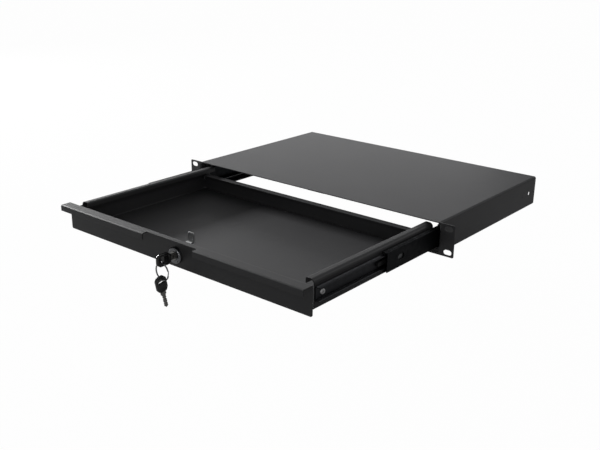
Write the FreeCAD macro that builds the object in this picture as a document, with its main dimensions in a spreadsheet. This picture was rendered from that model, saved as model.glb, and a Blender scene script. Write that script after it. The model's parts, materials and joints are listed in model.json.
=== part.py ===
import FreeCAD, Part
import math
import os

import Sketcher

# Sliding rack drawer, one rack unit high, drawn with the drawer pulled fully out.
# Frame: X to the right seen from the front, Y into the rack, Z up.
# Origin: centre of the four rack holes, on the front plane of the mounting ears.

SIZES = {
    # rack standard
    "ear_width": 21.3,
    "ear_corner": 1.5,
    "unit_height": 43.66,
    "hole_edge": 8.75,
    "hole_pitch_z": 31.75,
    "slot_length": 12.0,
    "slot_width": 7.0,
    # housing, one bent sheet
    "housing_width": 440.0,
    "housing_depth": 280.0,
    "housing_sheet": 1.2,
    "housing_bend": 1.8,
    "bottom_flange": 16.0,
    "rear_lip": 12.0,
    "rear_hole_radius": 3.0,
    "rear_hole_inset": 19.3,
    # drawer tray, one bent sheet
    "travel": 250.0,
    "closed_recess": 1.8,
    "tray_width": 412.0,
    "tray_sheet": 1.2,
    "tray_bend": 1.2,
    "rim_bend": 4.2,
    "rim_height": 38.5,
    "rim_width": 12.5,
    "rim_lip": 7.0,
    "side_setback": 12.2,
    "side_overhang": 10.0,
    "tray_depth": 246.2,
    "weld_flange": 16.0,
    # back wall
    "back_height": 29.0,
    "back_flange": 12.0,
    "back_relief": 2.4,
    # front panel with its pull lip
    "panel_width": 428.2,
    "panel_sheet": 1.5,
    "panel_bend": 1.0,
    "panel_bottom": 0.8,
    "panel_top": 38.4,
    "panel_corner": 2.5,
    "pull_depth": 15.5,
    "pull_drop": 8.4,
    "notch_width": 90.0,
    "notch_lip": 7.5,
    "foot_depth": 8.0,
    "foot_width": 396.0,
    # ball slides
    "slide_height": 21.3,
    "slide_sheet": 1.1,
    "ball_radius": 1.75,
    "ball_clearance": 0.1,
    "outer_race_out": 7.3,
    "outer_race_up": 13.8,
    "inner_race_out": 3.9,
    "middle_web_out": 9.6,
    "drawer_member_width": 6.8,
    "cabinet_front": 8.0,
    "cabinet_length": 250.0,
    "middle_closed_front": 13.0,
    "middle_length": 230.0,
    "middle_edge_radius": 0.55,
    "window_length": 13.6,
    "window_width": 6.8,
    "window_inset": 30.0,
    "member_inset": 1.0,
    "member_length": 242.0,
    "stop_tab_height": 6.0,
    "bumper_thickness": 1.5,
    "stop_clearance": 0.3,
    # ball cages
    "cage_sheet": 0.6,
    "cage_length": 96.0,
    "cage_gap": 0.5,
    "cage_inset": 6.5,
    "ball_pitch": 24.0,
    "ball_window_clearance": 0.15,
    # slide screws
    "screw_radius": 2.0,
    "screw_head_radius": 3.6,
    "screw_head_height": 2.0,
    "screw_inset": 11.0,
    "cabinet_screw_inset": 20.0,
    # release levers
    "lever_pivot_back": 142.0,
    "lever_reach": 29.0,
    "lever_half_height": 2.6,
    "lever_nose_radius": 1.3,
    "lever_thickness": 3.2,
    "lever_gap": 0.2,
    "lever_pin_radius": 1.2,
    "lever_pin_clearance": 0.08,
    "lever_pin_head_radius": 2.4,
    "lever_pin_head_height": 0.6,
    "lever_hub_radius": 3.4,
    # cam lock
    "lock_height": 17.0,
    "lock_thread_radius": 9.5,
    "lock_flats": 16.0,
    "lock_depth": 20.0,
    "bezel_radius": 11.0,
    "bezel_height": 5.0,
    "bezel_flat": 3.0,
    "bezel_rim": 2.0,
    "plug_radius": 5.9,
    "plug_clearance": 0.08,
    "plug_proud": 0.5,
    "panel_hole_clearance": 0.2,
    "nut_flats": 21.0,
    "nut_height": 4.0,
    "cam_sheet": 2.0,
    "cam_bend": 1.8,
    "cam_width": 10.0,
    "cam_reach": 22.5,
    "cam_step_height": 11.0,
    "cam_step": 4.0,
    "cam_foot": 8.0,
    "cam_foot_radius": 4.5,
    "cam_tip_radius": 2.0,
    "cam_gap": 0.3,
    "tang_width": 6.0,
    "cam_screw_radius": 4.4,
    "cam_screw_height": 2.6,
    "strike_sheet": 1.2,
    "strike_bend": 1.8,
    "strike_width": 30.0,
    "strike_foot": 12.0,
    "strike_gap": 0.9,
    "strike_overlap": 5.5,
    # keys and ring
    "bow_length": 21.0,
    "bow_width": 15.6,
    "bow_thickness": 5.0,
    "bow_chamfer": 1.0,
    "bow_end_width": 8.8,
    "bow_end_slope": 3.6,
    "bow_root_width": 9.6,
    "bow_root_slope": 4.6,
    "bow_slot_length": 10.6,
    "bow_slot_width": 4.2,
    "bow_slot_inset": 7.5,
    "blade_width": 5.0,
    "blade_thickness": 1.8,
    "blade_length": 18.5,
    "shoulder_width": 7.6,
    "shoulder_length": 4.5,
    "blade_clearance": 0.15,
    "key_stand_off": 0.3,
    "ring_radius": 11.0,
    "ring_wire_radius": 0.85,
    "ring_gap": 0.4,
    "spare_tilt": 12.0,
}

SCREW_COUNT = 2
BALLS_PER_ROW = 4
SIDES = {"right": 1, "left": -1}
# the ball grooves' arcs end this far above the flat of the sheet
ARC_COS = math.cos(math.radians(30))
ARC_SIN = math.sin(math.radians(30))
OVERRUN = 1.0
THROUGH = 4
TOLERANCE = 1e-3


class Length:
    """A size that keeps both its number and the sheet expression it comes from."""

    def __init__(self, value, text):
        self.value = float(value)
        self.text = text

    def __add__(self, other):
        other = as_length(other)
        return Length(self.value + other.value, f"({self.text} + {other.text})")

    def __sub__(self, other):
        other = as_length(other)
        return Length(self.value - other.value, f"({self.text} - {other.text})")

    def __mul__(self, other):
        other = as_length(other)
        return Length(self.value * other.value, f"({self.text} * {other.text})")

    def __truediv__(self, other):
        other = as_length(other)
        return Length(self.value / other.value, f"({self.text} / {other.text})")

    def __neg__(self):
        return Length(-self.value, f"(-1 * {self.text})")

    def __radd__(self, other):
        return as_length(other) + self

    def __rsub__(self, other):
        return as_length(other) - self

    def __rmul__(self, other):
        return as_length(other) * self


def as_length(number):
    if isinstance(number, Length):
        return number
    return Length(number, repr(float(number)))


def root(length):
    return Length(math.sqrt(length.value), f"sqrt({length.text})")


class Sheet:
    """Reads each driving size of the spreadsheet by its alias."""

    def __init__(self, document):
        self.cells = document.addObject("Spreadsheet::Sheet", "Sizes")
        for row, (alias, number) in enumerate(SIZES.items(), start=1):
            self.cells.set(f"A{row}", alias)
            self.cells.set(f"B{row}", str(number))
            self.cells.setAlias(f"B{row}", alias)
        document.recompute()

    def __getattr__(self, alias):
        return Length(self.cells.get(alias), f"Sizes.{alias}")


doc = FreeCAD.newDocument("rack_drawer")
size = Sheet(doc)
parts = []
ZERO = as_length(0)

# ---------------------------------------------------------------- shared places
top = size.unit_height / 2
bottom = -top
half_housing = size.housing_width / 2
ear_tip = half_housing + size.ear_width
wall_inside = half_housing - size.housing_sheet
half_tray = size.tray_width / 2
slide_room = wall_inside - half_tray
tray_bottom = bottom + size.panel_bottom + size.panel_sheet
floor_top = tray_bottom + size.tray_sheet
rim_top = bottom + size.rim_height
panel_front = -size.travel - size.closed_recess
panel_back = panel_front + size.panel_sheet
side_front = panel_back + size.side_setback
back_face = panel_back + size.tray_depth
side_back = back_face + size.side_overhang
slide_z = bottom + size.slide_height
lock_z = bottom + size.lock_height

# ball races, measured out from the tray's side and up from the slide's middle
race = size.ball_radius + size.ball_clearance
inner_race_up = size.outer_race_up - race * (1 + ARC_SIN) - size.slide_sheet
bead = root((race + size.slide_sheet) * (race + size.slide_sheet)
            - (race * ARC_SIN + size.slide_sheet) * (race * ARC_SIN + size.slide_sheet))
member_flat = inner_race_up - race * ARC_SIN
middle_flat = size.outer_race_up - race * ARC_SIN
member_front = side_front + size.member_inset
middle_front = size.middle_closed_front - size.travel / 2
cabinet_back = size.cabinet_front + size.cabinet_length

# cam and strike
cam_front = panel_front + size.lock_depth + size.cam_gap
cam_arm_front = cam_front + size.cam_step
cam_tip = lock_z + size.cam_reach


# ---------------------------------------------------------------- drawing helpers
def bind(thing, path, length):
    thing.setExpression(path, as_length(length).text)


def new_body(label):
    body = doc.addObject("PartDesign::Body", label)
    body.Label = label
    parts.append(body)
    return body


def origin_plane(body, role):
    return next(item for item in body.Origin.OriginFeatures if item.Role == role)


def new_sketch(body, role, offset=ZERO):
    sketch = body.newObject("Sketcher::SketchObject", body.Label + "_sketch")
    sketch.AttachmentSupport = [(origin_plane(body, role), "")]
    sketch.MapMode = "FlatFace"
    bind(sketch, "AttachmentOffset.Base.z", offset)
    return sketch


def fix(sketch, kind, geometry, point, length):
    """Bind one coordinate of a sketch point to the sheet."""
    if length.text == ZERO.text:
        axis = -2 if kind == "DistanceX" else -1
        sketch.addConstraint(Sketcher.Constraint("PointOnObject", geometry, point, axis))
        return
    index = sketch.addConstraint(Sketcher.Constraint(kind, -1, 1, geometry, point, length.value))
    bind(sketch, f"Constraints[{index}]", length)


def fix_point(sketch, geometry, point, spot):
    fix(sketch, "DistanceX", geometry, point, as_length(spot[0]))
    fix(sketch, "DistanceY", geometry, point, as_length(spot[1]))


def vector(spot):
    return FreeCAD.Vector(as_length(spot[0]).value, as_length(spot[1]).value, 0)


def add_radius(sketch, geometry, radius):
    index = sketch.addConstraint(Sketcher.Constraint("Radius", geometry, radius.value))
    bind(sketch, f"Constraints[{index}]", radius)


def add_loop(sketch, spots, arcs=None):
    """Closed outline through spots; arcs maps a spot's number to (centre, radius, counterclockwise)."""
    arcs = arcs or {}
    first = sketch.GeometryCount
    count = len(spots)
    ends = []
    for number, spot in enumerate(spots):
        start = vector(spot)
        end = vector(spots[(number + 1) % count])
        if number not in arcs:
            sketch.addGeometry(Part.LineSegment(start, end), False)
            ends.append((1, 2))
            continue
        centre, radius, counterclockwise = arcs[number]
        middle = vector(centre)
        circle = Part.Circle(middle, FreeCAD.Vector(0, 0, 1), as_length(radius).value)
        low, high = (start, end) if counterclockwise else (end, start)
        angles = [math.atan2(tip.y - middle.y, tip.x - middle.x) for tip in (low, high)]
        if angles[1] <= angles[0]:
            angles[1] += 2 * math.pi
        sketch.addGeometry(Part.ArcOfCircle(circle, angles[0], angles[1]), False)
        ends.append((1, 2) if counterclockwise else (2, 1))
    for number in range(count):
        after = (number + 1) % count
        sketch.addConstraint(Sketcher.Constraint(
            "Coincident", first + number, ends[number][1], first + after, ends[after][0]))
    for number, spot in enumerate(spots):
        fix_point(sketch, first + number, ends[number][0], spot)
    for number, (centre, radius, counterclockwise) in arcs.items():
        # both ends are fixed already, so the middle needs one coordinate, across the chord
        chord = vector(spots[(number + 1) % count]) - vector(spots[number])
        if abs(chord.x) > abs(chord.y):
            fix(sketch, "DistanceY", first + number, 3, as_length(centre[1]))
        else:
            fix(sketch, "DistanceX", first + number, 3, as_length(centre[0]))


def add_box(sketch, low, high):
    add_loop(sketch, [low, (high[0], low[1]), high, (low[0], high[1])])


def add_circle(sketch, centre, radius):
    radius = as_length(radius)
    circle = Part.Circle(vector(centre), FreeCAD.Vector(0, 0, 1), radius.value)
    geometry = sketch.addGeometry(circle, False)
    fix_point(sketch, geometry, 3, centre)
    add_radius(sketch, geometry, radius)


def add_slot(sketch, centre, length, width):
    """Round-ended slot along the sketch's first direction."""
    radius = as_length(width) / 2
    reach = as_length(length) / 2 - radius
    left = centre[0] - reach
    right = centre[0] + reach
    low = centre[1] - radius
    high = centre[1] + radius
    add_loop(sketch, [(left, low), (right, low), (right, high), (left, high)],
             {1: ((right, centre[1]), radius, True), 3: ((left, centre[1]), radius, True)})


def extrude(kind, body, sketch, length, backwards, symmetric=False):
    before = body.Tip.Shape.Volume if kind == "Pocket" else 0
    feature = body.newObject("PartDesign::" + kind, body.Label + "_" + kind.lower())
    feature.Profile = sketch
    feature.Reversed = backwards
    feature.Midplane = symmetric
    bind(feature, "Length", length)
    doc.recompute()
    if kind == "Pocket" and feature.Shape.Volume >= before - TOLERANCE:
        raise ValueError("a pocket in " + body.Label + " cuts nothing")
    return feature


def pad_into_rack(body, sketch, length):
    """The XZ plane faces the front, so a pad into the rack runs backwards from it."""
    return extrude("Pad", body, sketch, length, True)


def pad_up(body, sketch, length):
    return extrude("Pad", body, sketch, length, False)


def pad_both(body, sketch, length):
    return extrude("Pad", body, sketch, length, False, True)


def cut_both(body, sketch, length):
    return extrude("Pocket", body, sketch, length, False, True)


def round_edges(body, direction, spots, radius):
    """Fillet the straight edges along X, Y or Z that pass through the given spots."""
    base = body.Tip
    others = [axis for axis in range(3) if axis != "XYZ".index(direction)]
    wanted = [tuple(as_length(number).value for number in spot) for spot in spots]
    names = []
    for number, edge in enumerate(base.Shape.Edges, start=1):
        ends = [vertex.Point for vertex in edge.Vertexes]
        if len(ends) != 2 or not isinstance(edge.Curve, Part.Line):
            continue
        same = all(abs(ends[0][axis] - ends[1][axis]) < TOLERANCE for axis in others)
        near = any(all(abs(ends[0][axis] - spot[place]) < TOLERANCE for place, axis in enumerate(others))
                   for spot in wanted)
        if same and near:
            names.append(f"Edge{number}")
    if not names:
        raise ValueError("no edge to round on " + body.Label)
    fillet = body.newObject("PartDesign::Fillet", body.Label + "_bend")
    fillet.Base = (base, names)
    bind(fillet, "Radius", radius)
    doc.recompute()
    return fillet


def mirror(body, role):
    base = body.Tip
    twin = body.newObject("PartDesign::Mirrored", body.Label + "_mirror")
    twin.Originals = [base]
    twin.MirrorPlane = (origin_plane(body, role), [""])
    body.Tip = twin
    doc.recompute()
    return twin


def place(thing, x, y, z, axis=(0, 0, 1), angle=0.0):
    """Put a sub-part at a place bound to the sheet, turned about one axis."""
    turn = FreeCAD.Rotation(FreeCAD.Vector(*axis), as_length(angle).value)
    thing.Placement = FreeCAD.Placement(FreeCAD.Vector(), turn)
    for letter, length in zip("xyz", (x, y, z)):
        bind(thing, "Placement.Base." + letter, length)
    if isinstance(angle, Length):
        bind(thing, "Placement.Rotation.Angle", angle)


def place_slide_piece(thing, side, y):
    """Slide pieces are drawn for the right side; half a turn about Y makes the left one."""
    angle = 0 if side == "right" else 180
    place(thing, half_tray * SIDES[side], y, slide_z, (0, 1, 0), angle)


# ---------------------------------------------------------------- housing
def make_housing_shell():
    """Top, sides, bottom flanges, rear lip and rack ears, bent from one sheet."""
    body = new_body("housing_shell")
    sheet = size.housing_sheet
    flange_end = half_housing - size.bottom_flange
    outline = new_sketch(body, "XZ_Plane")
    right = [(flange_end, bottom), (half_housing, bottom), (half_housing, top)]
    right_inside = [(wall_inside, top - sheet), (wall_inside, bottom + sheet), (flange_end, bottom + sheet)]
    left = [(-x, z) for x, z in reversed(right)]
    left_inside = [(-x, z) for x, z in reversed(right_inside)]
    add_loop(outline, right + left + left_inside + right_inside)
    pad_into_rack(body, outline, size.housing_depth)
    corners = [(side * half_housing, z) for side in (1, -1) for z in (bottom, top)]
    round_edges(body, "Y", corners, size.housing_bend + sheet)
    inside = [(side * wall_inside, z) for side in (1, -1) for z in (bottom + sheet, top - sheet)]
    round_edges(body, "Y", inside, size.housing_bend)

    # each side wall bends out into an ear between two closed corners
    turned = size.housing_bend + sheet
    bend_top = top - turned
    mouth = new_sketch(body, "XZ_Plane")
    for side in (1, -1):
        add_box(mouth, ((wall_inside - OVERRUN) * side, -bend_top),
                ((half_housing + OVERRUN) * side, bend_top))
    extrude("Pocket", body, mouth, turned, False)
    ear_start = half_housing + size.housing_bend
    bends = new_sketch(body, "XY_Plane")
    for side in (1, -1):
        centre = (ear_start * side, turned)
        add_loop(bends, [(wall_inside * side, turned), (ear_start * side, ZERO), (ear_tip * side, ZERO),
                         (ear_tip * side, sheet), (ear_start * side, sheet), (half_housing * side, turned)],
                 {0: (centre, turned, side > 0), 4: (centre, size.housing_bend, side < 0)})
    pad_both(body, bends, bend_top * 2)
    ends = new_sketch(body, "XZ_Plane")
    for side in (1, -1):
        for height in (1, -1):
            add_box(ends, ((half_housing - turned) * side, bend_top * height), (ear_tip * side, top * height))
    pad_into_rack(body, ends, sheet)
    tips = [(ear_tip * side, top * height) for side in (1, -1) for height in (1, -1)]
    round_edges(body, "Y", tips, size.ear_corner)

    slots = new_sketch(body, "XZ_Plane")
    for side in (1, -1):
        for height in (1, -1):
            centre = ((ear_tip - size.hole_edge) * side, size.hole_pitch_z / 2 * height)
            add_slot(slots, centre, size.slot_length, size.slot_width)
    cut_both(body, slots, sheet * THROUGH)

    lip = new_sketch(body, "XZ_Plane", -(size.housing_depth - sheet))
    lip_end = wall_inside - size.housing_bend - sheet
    add_box(lip, (-lip_end, top - size.rear_lip), (lip_end, top - sheet / 2))
    pad_into_rack(body, lip, sheet)

    holes = new_sketch(body, "YZ_Plane")
    add_circle(holes, (size.housing_depth - size.rear_hole_inset, slide_z), size.rear_hole_radius)
    for y in cabinet_screw_places():
        add_circle(holes, (y, slide_z), size.screw_radius)
    cut_both(body, holes, size.housing_width * 2)


def make_lock_strike():
    """Angle bracket welded under the top plate; the turned-up cam hooks behind its leg."""
    body = new_body("lock_strike")
    ceiling = top - size.housing_sheet
    leg_back = cam_arm_front + size.travel - size.strike_gap
    leg_front = leg_back - size.strike_sheet
    leg_bottom = cam_tip - size.strike_overlap
    foot_front = leg_back - size.strike_foot
    profile = new_sketch(body, "YZ_Plane")
    add_loop(profile, [(leg_front, leg_bottom), (leg_back, leg_bottom), (leg_back, ceiling),
                       (foot_front, ceiling), (foot_front, ceiling - size.strike_sheet),
                       (leg_front, ceiling - size.strike_sheet)])
    pad_both(body, profile, size.strike_width)
    round_edges(body, "X", [(leg_back, ceiling)], size.strike_bend)


def cabinet_screw_places():
    first = size.cabinet_front + size.cabinet_screw_inset
    last = cabinet_back - size.cabinet_screw_inset
    step = (last - first) / (SCREW_COUNT - 1)
    return [first + step * number for number in range(SCREW_COUNT)]


def make_cabinet_member(side):
    """Fixed slide channel on the housing wall, its beads holding the outer balls."""
    body = new_body(side + "_cabinet_member")
    out = size.outer_race_out
    up = size.outer_race_up
    sheet = size.slide_sheet
    flat = up + race * ARC_SIN
    spots = [(slide_room, ZERO), (slide_room, flat + sheet), (out + bead, flat + sheet),
             (out - (race + sheet) * ARC_COS, up + (race + sheet) * ARC_SIN),
             (out - race * ARC_COS, flat), (out + race * ARC_COS, flat),
             (slide_room - sheet, flat), (slide_room - sheet, ZERO)]
    profile = new_sketch(body, "XZ_Plane")
    add_loop(profile, spots, {2: ((out, up), race + sheet, True), 4: ((out, up), race, False)})
    pad_into_rack(body, profile, size.cabinet_length)
    mirror(body, "XY_Plane")
    round_edges(body, "Y", [(slide_room, (flat + sheet) * end) for end in (1, -1)], sheet)

    tab = new_sketch(body, "XZ_Plane", -(size.cabinet_length - sheet))
    add_box(tab, (ZERO + size.stop_clearance, -size.stop_tab_height),
            (slide_room - sheet / 2, size.stop_tab_height))
    pad_into_rack(body, tab, sheet)

    sinks = [y - size.cabinet_front for y in cabinet_screw_places()]
    for y in sinks:
        sink = body.newObject("PartDesign::SubtractiveCone", body.Label + "_sink")
        bind(sink, "Radius1", size.screw_head_radius)
        bind(sink, "Radius2", size.screw_radius)
        bind(sink, "Height", sheet)
        sink.AttachmentSupport = [(origin_plane(body, "YZ_Plane"), "")]
        sink.MapMode = "FlatFace"
        bind(sink, "AttachmentOffset.Base.x", y)
        bind(sink, "AttachmentOffset.Base.z", slide_room - sheet)
        doc.recompute()
    place_slide_piece(body, side, size.cabinet_front)


def make_cabinet_screws():
    """Countersunk screws from the cabinet members into the housing's walls."""
    solids = []
    for side in SIDES.values():
        for y in cabinet_screw_places():
            inward = FreeCAD.Vector(side, 0, 0)
            seat = FreeCAD.Vector(side * (wall_inside - size.slide_sheet).value, y.value, slide_z.value)
            head = Part.makeCone(size.screw_head_radius.value, size.screw_radius.value,
                                 size.slide_sheet.value, seat, inward)
            shank = Part.makeCylinder(size.screw_radius.value, size.housing_sheet.value,
                                      seat + inward * size.slide_sheet.value, inward)
            solids.append(head.fuse(shank).removeSplitter())
    add_group("cabinet_screws", solids)


def add_group(label, solids):
    """Identical loose pieces share one node as separate solids."""
    group = doc.addObject("Part::Feature", label)
    group.Label = label
    group.Shape = Part.makeCompound(solids)
    parts.append(group)


def make_bumper(side):
    """Rubber pad on the cabinet member's end tab that stops the closing drawer."""
    body = new_body(side + "_bumper")
    pad = new_sketch(body, "XZ_Plane")
    add_box(pad, (ZERO + size.stop_clearance, -size.stop_tab_height),
            (size.drawer_member_width, size.stop_tab_height))
    pad_into_rack(body, pad, size.bumper_thickness)
    place_slide_piece(body, side, cabinet_back - size.slide_sheet - size.bumper_thickness)


# ---------------------------------------------------------------- drawer
def drawer_screw_places():
    first = member_front + size.screw_inset
    last = member_front + size.member_length - size.screw_inset
    step = (last - first) / (SCREW_COUNT - 1)
    return [first + step * number for number in range(SCREW_COUNT)]


def make_drawer_tray():
    """Floor and side walls with inward-turned rims, bent from one sheet."""
    body = new_body("drawer_tray")
    sheet = size.tray_sheet
    inside = half_tray - sheet
    rim_end = half_tray - size.rim_width
    right = [(half_tray, tray_bottom), (half_tray, rim_top), (rim_end, rim_top),
             (rim_end, rim_top - size.rim_lip), (rim_end + sheet, rim_top - size.rim_lip),
             (rim_end + sheet, rim_top - sheet), (inside, rim_top - sheet), (inside, floor_top)]
    left = [(-x, z) for x, z in reversed(right)]
    outline = new_sketch(body, "XZ_Plane", -panel_back)
    add_loop(outline, right + left)
    pad_into_rack(body, outline, side_back - panel_back)
    for half, z, radius in ((half_tray, tray_bottom, size.tray_bend + sheet),
                            (inside, floor_top, size.tray_bend),
                            (half_tray, rim_top, size.rim_bend + sheet),
                            (inside, rim_top - sheet, size.rim_bend),
                            (rim_end, rim_top, size.tray_bend + sheet),
                            (rim_end + sheet, rim_top - sheet, size.tray_bend)):
        round_edges(body, "Y", [(half, z), (-half, z)], radius)

    # the side walls start behind the panel, and run past the floor at the back
    walls = new_sketch(body, "XY_Plane", floor_top)
    for side in (1, -1):
        add_box(walls, ((rim_end - OVERRUN) * side, panel_back - OVERRUN),
                ((half_tray + OVERRUN) * side, side_front))
    extrude("Pocket", body, walls, size.unit_height, True)
    floor = new_sketch(body, "XY_Plane", tray_bottom)
    keep = inside - size.tray_bend
    add_box(floor, (-keep, back_face), (keep, side_back + OVERRUN))
    extrude("Pocket", body, floor, sheet + OVERRUN, True)

    # front flange, welded to the back of the panel on both sides of the lock
    flange = new_sketch(body, "XY_Plane", tray_bottom)
    for side in (1, -1):
        add_box(flange, (size.nut_flats * side, panel_back),
                (size.foot_width / 2 * side, panel_back + sheet))
    pad_up(body, flange, size.weld_flange)

    holes = new_sketch(body, "YZ_Plane")
    for y in drawer_screw_places():
        add_circle(holes, (y, slide_z), size.screw_radius)
    cut_both(body, holes, size.tray_width * 2)


def make_back_wall():
    """Low wall across the tray with a forward flange, standing on the floor."""
    body = new_body("back_wall")
    sheet = size.tray_sheet
    wall_top = bottom + size.back_height
    wall_front = back_face - sheet
    flange_front = back_face - size.back_flange
    profile = new_sketch(body, "YZ_Plane")
    add_loop(profile, [(wall_front, floor_top), (back_face, floor_top), (back_face, wall_top),
                       (flange_front, wall_top), (flange_front, wall_top - sheet),
                       (wall_front, wall_top - sheet)])
    inside = half_tray - sheet
    pad_both(body, profile, inside * 2)
    round_edges(body, "X", [(back_face, wall_top)], size.tray_bend + sheet)
    round_edges(body, "X", [(wall_front, wall_top - sheet)], size.tray_bend)
    reliefs = new_sketch(body, "XZ_Plane", -back_face)
    relief = size.back_relief
    for side in (1, -1):
        add_box(reliefs, ((inside - relief) * side, floor_top - OVERRUN),
                ((inside + OVERRUN) * side, floor_top + relief))
    cut_both(body, reliefs, sheet * THROUGH)


def make_front_panel():
    """Plate with a forward pull lip, a notch over the lock and a foot under the tray."""
    body = new_body("front_panel")
    sheet = size.panel_sheet
    low = bottom + size.panel_bottom
    high = bottom + size.panel_top
    lip_front = panel_front - size.pull_depth
    profile = new_sketch(body, "YZ_Plane")
    add_loop(profile, [(panel_front, low), (panel_back, low), (panel_back, high), (lip_front, high),
                       (lip_front, high - size.pull_drop), (lip_front + sheet, high - size.pull_drop),
                       (lip_front + sheet, high - sheet), (panel_front, high - sheet)])
    pad_both(body, profile, size.panel_width)
    round_edges(body, "X", [(panel_back, high), (lip_front, high)], size.panel_bend + sheet)
    round_edges(body, "X", [(panel_front, high - sheet), (lip_front + sheet, high - sheet)], size.panel_bend)
    half = size.panel_width / 2
    round_edges(body, "Y", [(half, low), (-half, low)], size.panel_corner)

    notch = new_sketch(body, "XY_Plane", high)
    half_notch = size.notch_width / 2
    add_box(notch, (-half_notch, lip_front - OVERRUN), (half_notch, panel_front - size.notch_lip))
    cut_both(body, notch, size.pull_drop * THROUGH)

    foot = new_sketch(body, "XY_Plane", low)
    add_box(foot, (-size.foot_width / 2, panel_front + sheet / 2),
            (size.foot_width / 2, panel_front + size.foot_depth))
    pad_up(body, foot, sheet)

    hole = new_sketch(body, "XZ_Plane", -panel_front)
    add_flatted_circle(hole, size.lock_thread_radius + size.panel_hole_clearance,
                       size.lock_flats / 2 + size.panel_hole_clearance)
    cut_both(body, hole, sheet * THROUGH)


def add_flatted_circle(sketch, radius, half_flats):
    """Circle on the lock's axis with two upright flats."""
    rise = root(radius * radius - half_flats * half_flats)
    centre = (ZERO, lock_z)
    add_loop(sketch, [(half_flats, lock_z - rise), (half_flats, lock_z + rise),
                      (-half_flats, lock_z + rise), (-half_flats, lock_z - rise)],
             {1: (centre, radius, True), 3: (centre, radius, True)})


def make_drawer_member(side):
    """Moving slide channel on the tray's side, its grooves carrying the inner balls."""
    body = new_body(side + "_drawer_member")
    out = size.inner_race_out
    up = inner_race_up
    sheet = size.slide_sheet
    tip = size.drawer_member_width
    spots = [(ZERO, ZERO), (sheet, ZERO), (sheet, member_flat - sheet), (out - bead, member_flat - sheet),
             (out + bead, member_flat - sheet), (tip, member_flat - sheet), (tip, member_flat),
             (out + race * ARC_COS, member_flat), (out - race * ARC_COS, member_flat), (ZERO, member_flat)]
    profile = new_sketch(body, "XZ_Plane")
    add_loop(profile, spots, {3: ((out, up), race + sheet, True), 7: ((out, up), race, False)})
    pad_into_rack(body, profile, size.member_length)
    mirror(body, "XY_Plane")
    round_edges(body, "Y", [(0, member_flat * end) for end in (1, -1)], sheet)

    holes = new_sketch(body, "YZ_Plane")
    for y in drawer_screw_places():
        add_circle(holes, (y - member_front, ZERO), size.screw_radius)
    add_circle(holes, (size.lever_pivot_back, ZERO), size.lever_pin_radius)
    cut_both(body, holes, sheet * THROUGH)
    place_slide_piece(body, side, member_front)


def make_drawer_screws():
    """Pan-head screws that hold the drawer members on the tray."""
    solids = []
    rim = (size.screw_head_height / 2).value
    radius = size.screw_head_radius.value
    for side in SIDES.values():
        for y in drawer_screw_places():
            outward = FreeCAD.Vector(side, 0, 0)
            seat = FreeCAD.Vector(side * (half_tray + size.slide_sheet).value, y.value, slide_z.value)
            head = Part.makeCylinder(radius, rim, seat, outward)
            crown = Part.makeCone(radius, radius - rim, rim, seat + outward * rim, outward)
            head = head.fuse(crown)
            grip = (size.slide_sheet + size.tray_sheet).value
            shank = Part.makeCylinder(size.screw_radius.value, grip, seat, -outward)
            solids.append(head.fuse(shank).removeSplitter())
    add_group("drawer_screws", solids)


def make_middle_member(side):
    """Middle slide channel, S-shaped at each edge between the outer and inner balls."""
    body = new_body(side + "_middle_member")
    out = size.outer_race_out
    up = size.outer_race_up
    inner = size.inner_race_out
    sheet = size.slide_sheet
    web = size.middle_web_out
    under = inner_race_up + race * ARC_SIN
    spots = [(web, ZERO), (web, middle_flat), (out + race * ARC_COS, middle_flat),
             (out - race * ARC_COS, middle_flat), (inner, middle_flat),
             (inner - (race + sheet) * ARC_COS, inner_race_up + (race + sheet) * ARC_SIN),
             (inner - race * ARC_COS, under), (inner + race * ARC_COS, under),
             (web - sheet, under), (web - sheet, ZERO)]
    profile = new_sketch(body, "XZ_Plane")
    add_loop(profile, spots, {2: ((out, up), race, False),
                              4: ((inner, inner_race_up), race + sheet, True),
                              6: ((inner, inner_race_up), race, False)})
    pad_into_rack(body, profile, size.middle_length)
    mirror(body, "XY_Plane")
    round_edges(body, "Y", [(web, middle_flat * end) for end in (1, -1)], size.middle_edge_radius)

    windows = new_sketch(body, "YZ_Plane")
    for y in (size.window_inset, size.middle_length - size.window_inset):
        add_slot(windows, (y, ZERO), size.window_length, size.window_width)
    cut_both(body, windows, web * THROUGH)
    place_slide_piece(body, side, middle_front)


def make_cage(label, side, rows, web_low, edge, front):
    """Sheet cage with a square window for each ball; rows is the balls' (out, up) place."""
    body = new_body(label)
    sheet = size.cage_sheet
    web_high = web_low + sheet
    out, up = rows
    profile = new_sketch(body, "XZ_Plane")
    add_loop(profile, [(web_high, ZERO), (web_high, up + sheet / 2), (edge, up + sheet / 2),
                       (edge, up - sheet / 2), (web_low, up - sheet / 2), (web_low, ZERO)])
    pad_into_rack(body, profile, size.cage_length)
    mirror(body, "XY_Plane")
    windows = new_sketch(body, "XY_Plane")
    half = size.ball_radius + size.ball_window_clearance
    for y in ball_places():
        add_box(windows, (out - half, y - half), (out + half, y + half))
    cut_both(body, windows, size.unit_height)
    place_slide_piece(body, side, front)


def ball_places():
    first = (size.cage_length - size.ball_pitch * (BALLS_PER_ROW - 1)) / 2
    return [first + size.ball_pitch * number for number in range(BALLS_PER_ROW)]


def make_balls(label, side, rows, front):
    """Two rows of balls, each facetted from six meridians."""
    out, up = rows
    turn = FreeCAD.Rotation(FreeCAD.Vector(0, 1, 0), 0 if side == "right" else 180)
    corner = FreeCAD.Vector(half_tray.value * SIDES[side], front.value, slide_z.value)
    balls = []
    for y in ball_places():
        for row in (1, -1):
            centre = FreeCAD.Vector(out.value, y.value, up.value * row)
            balls.append(facetted_ball(corner + turn.multVec(centre), size.ball_radius.value))
    add_group(label, balls)


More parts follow.
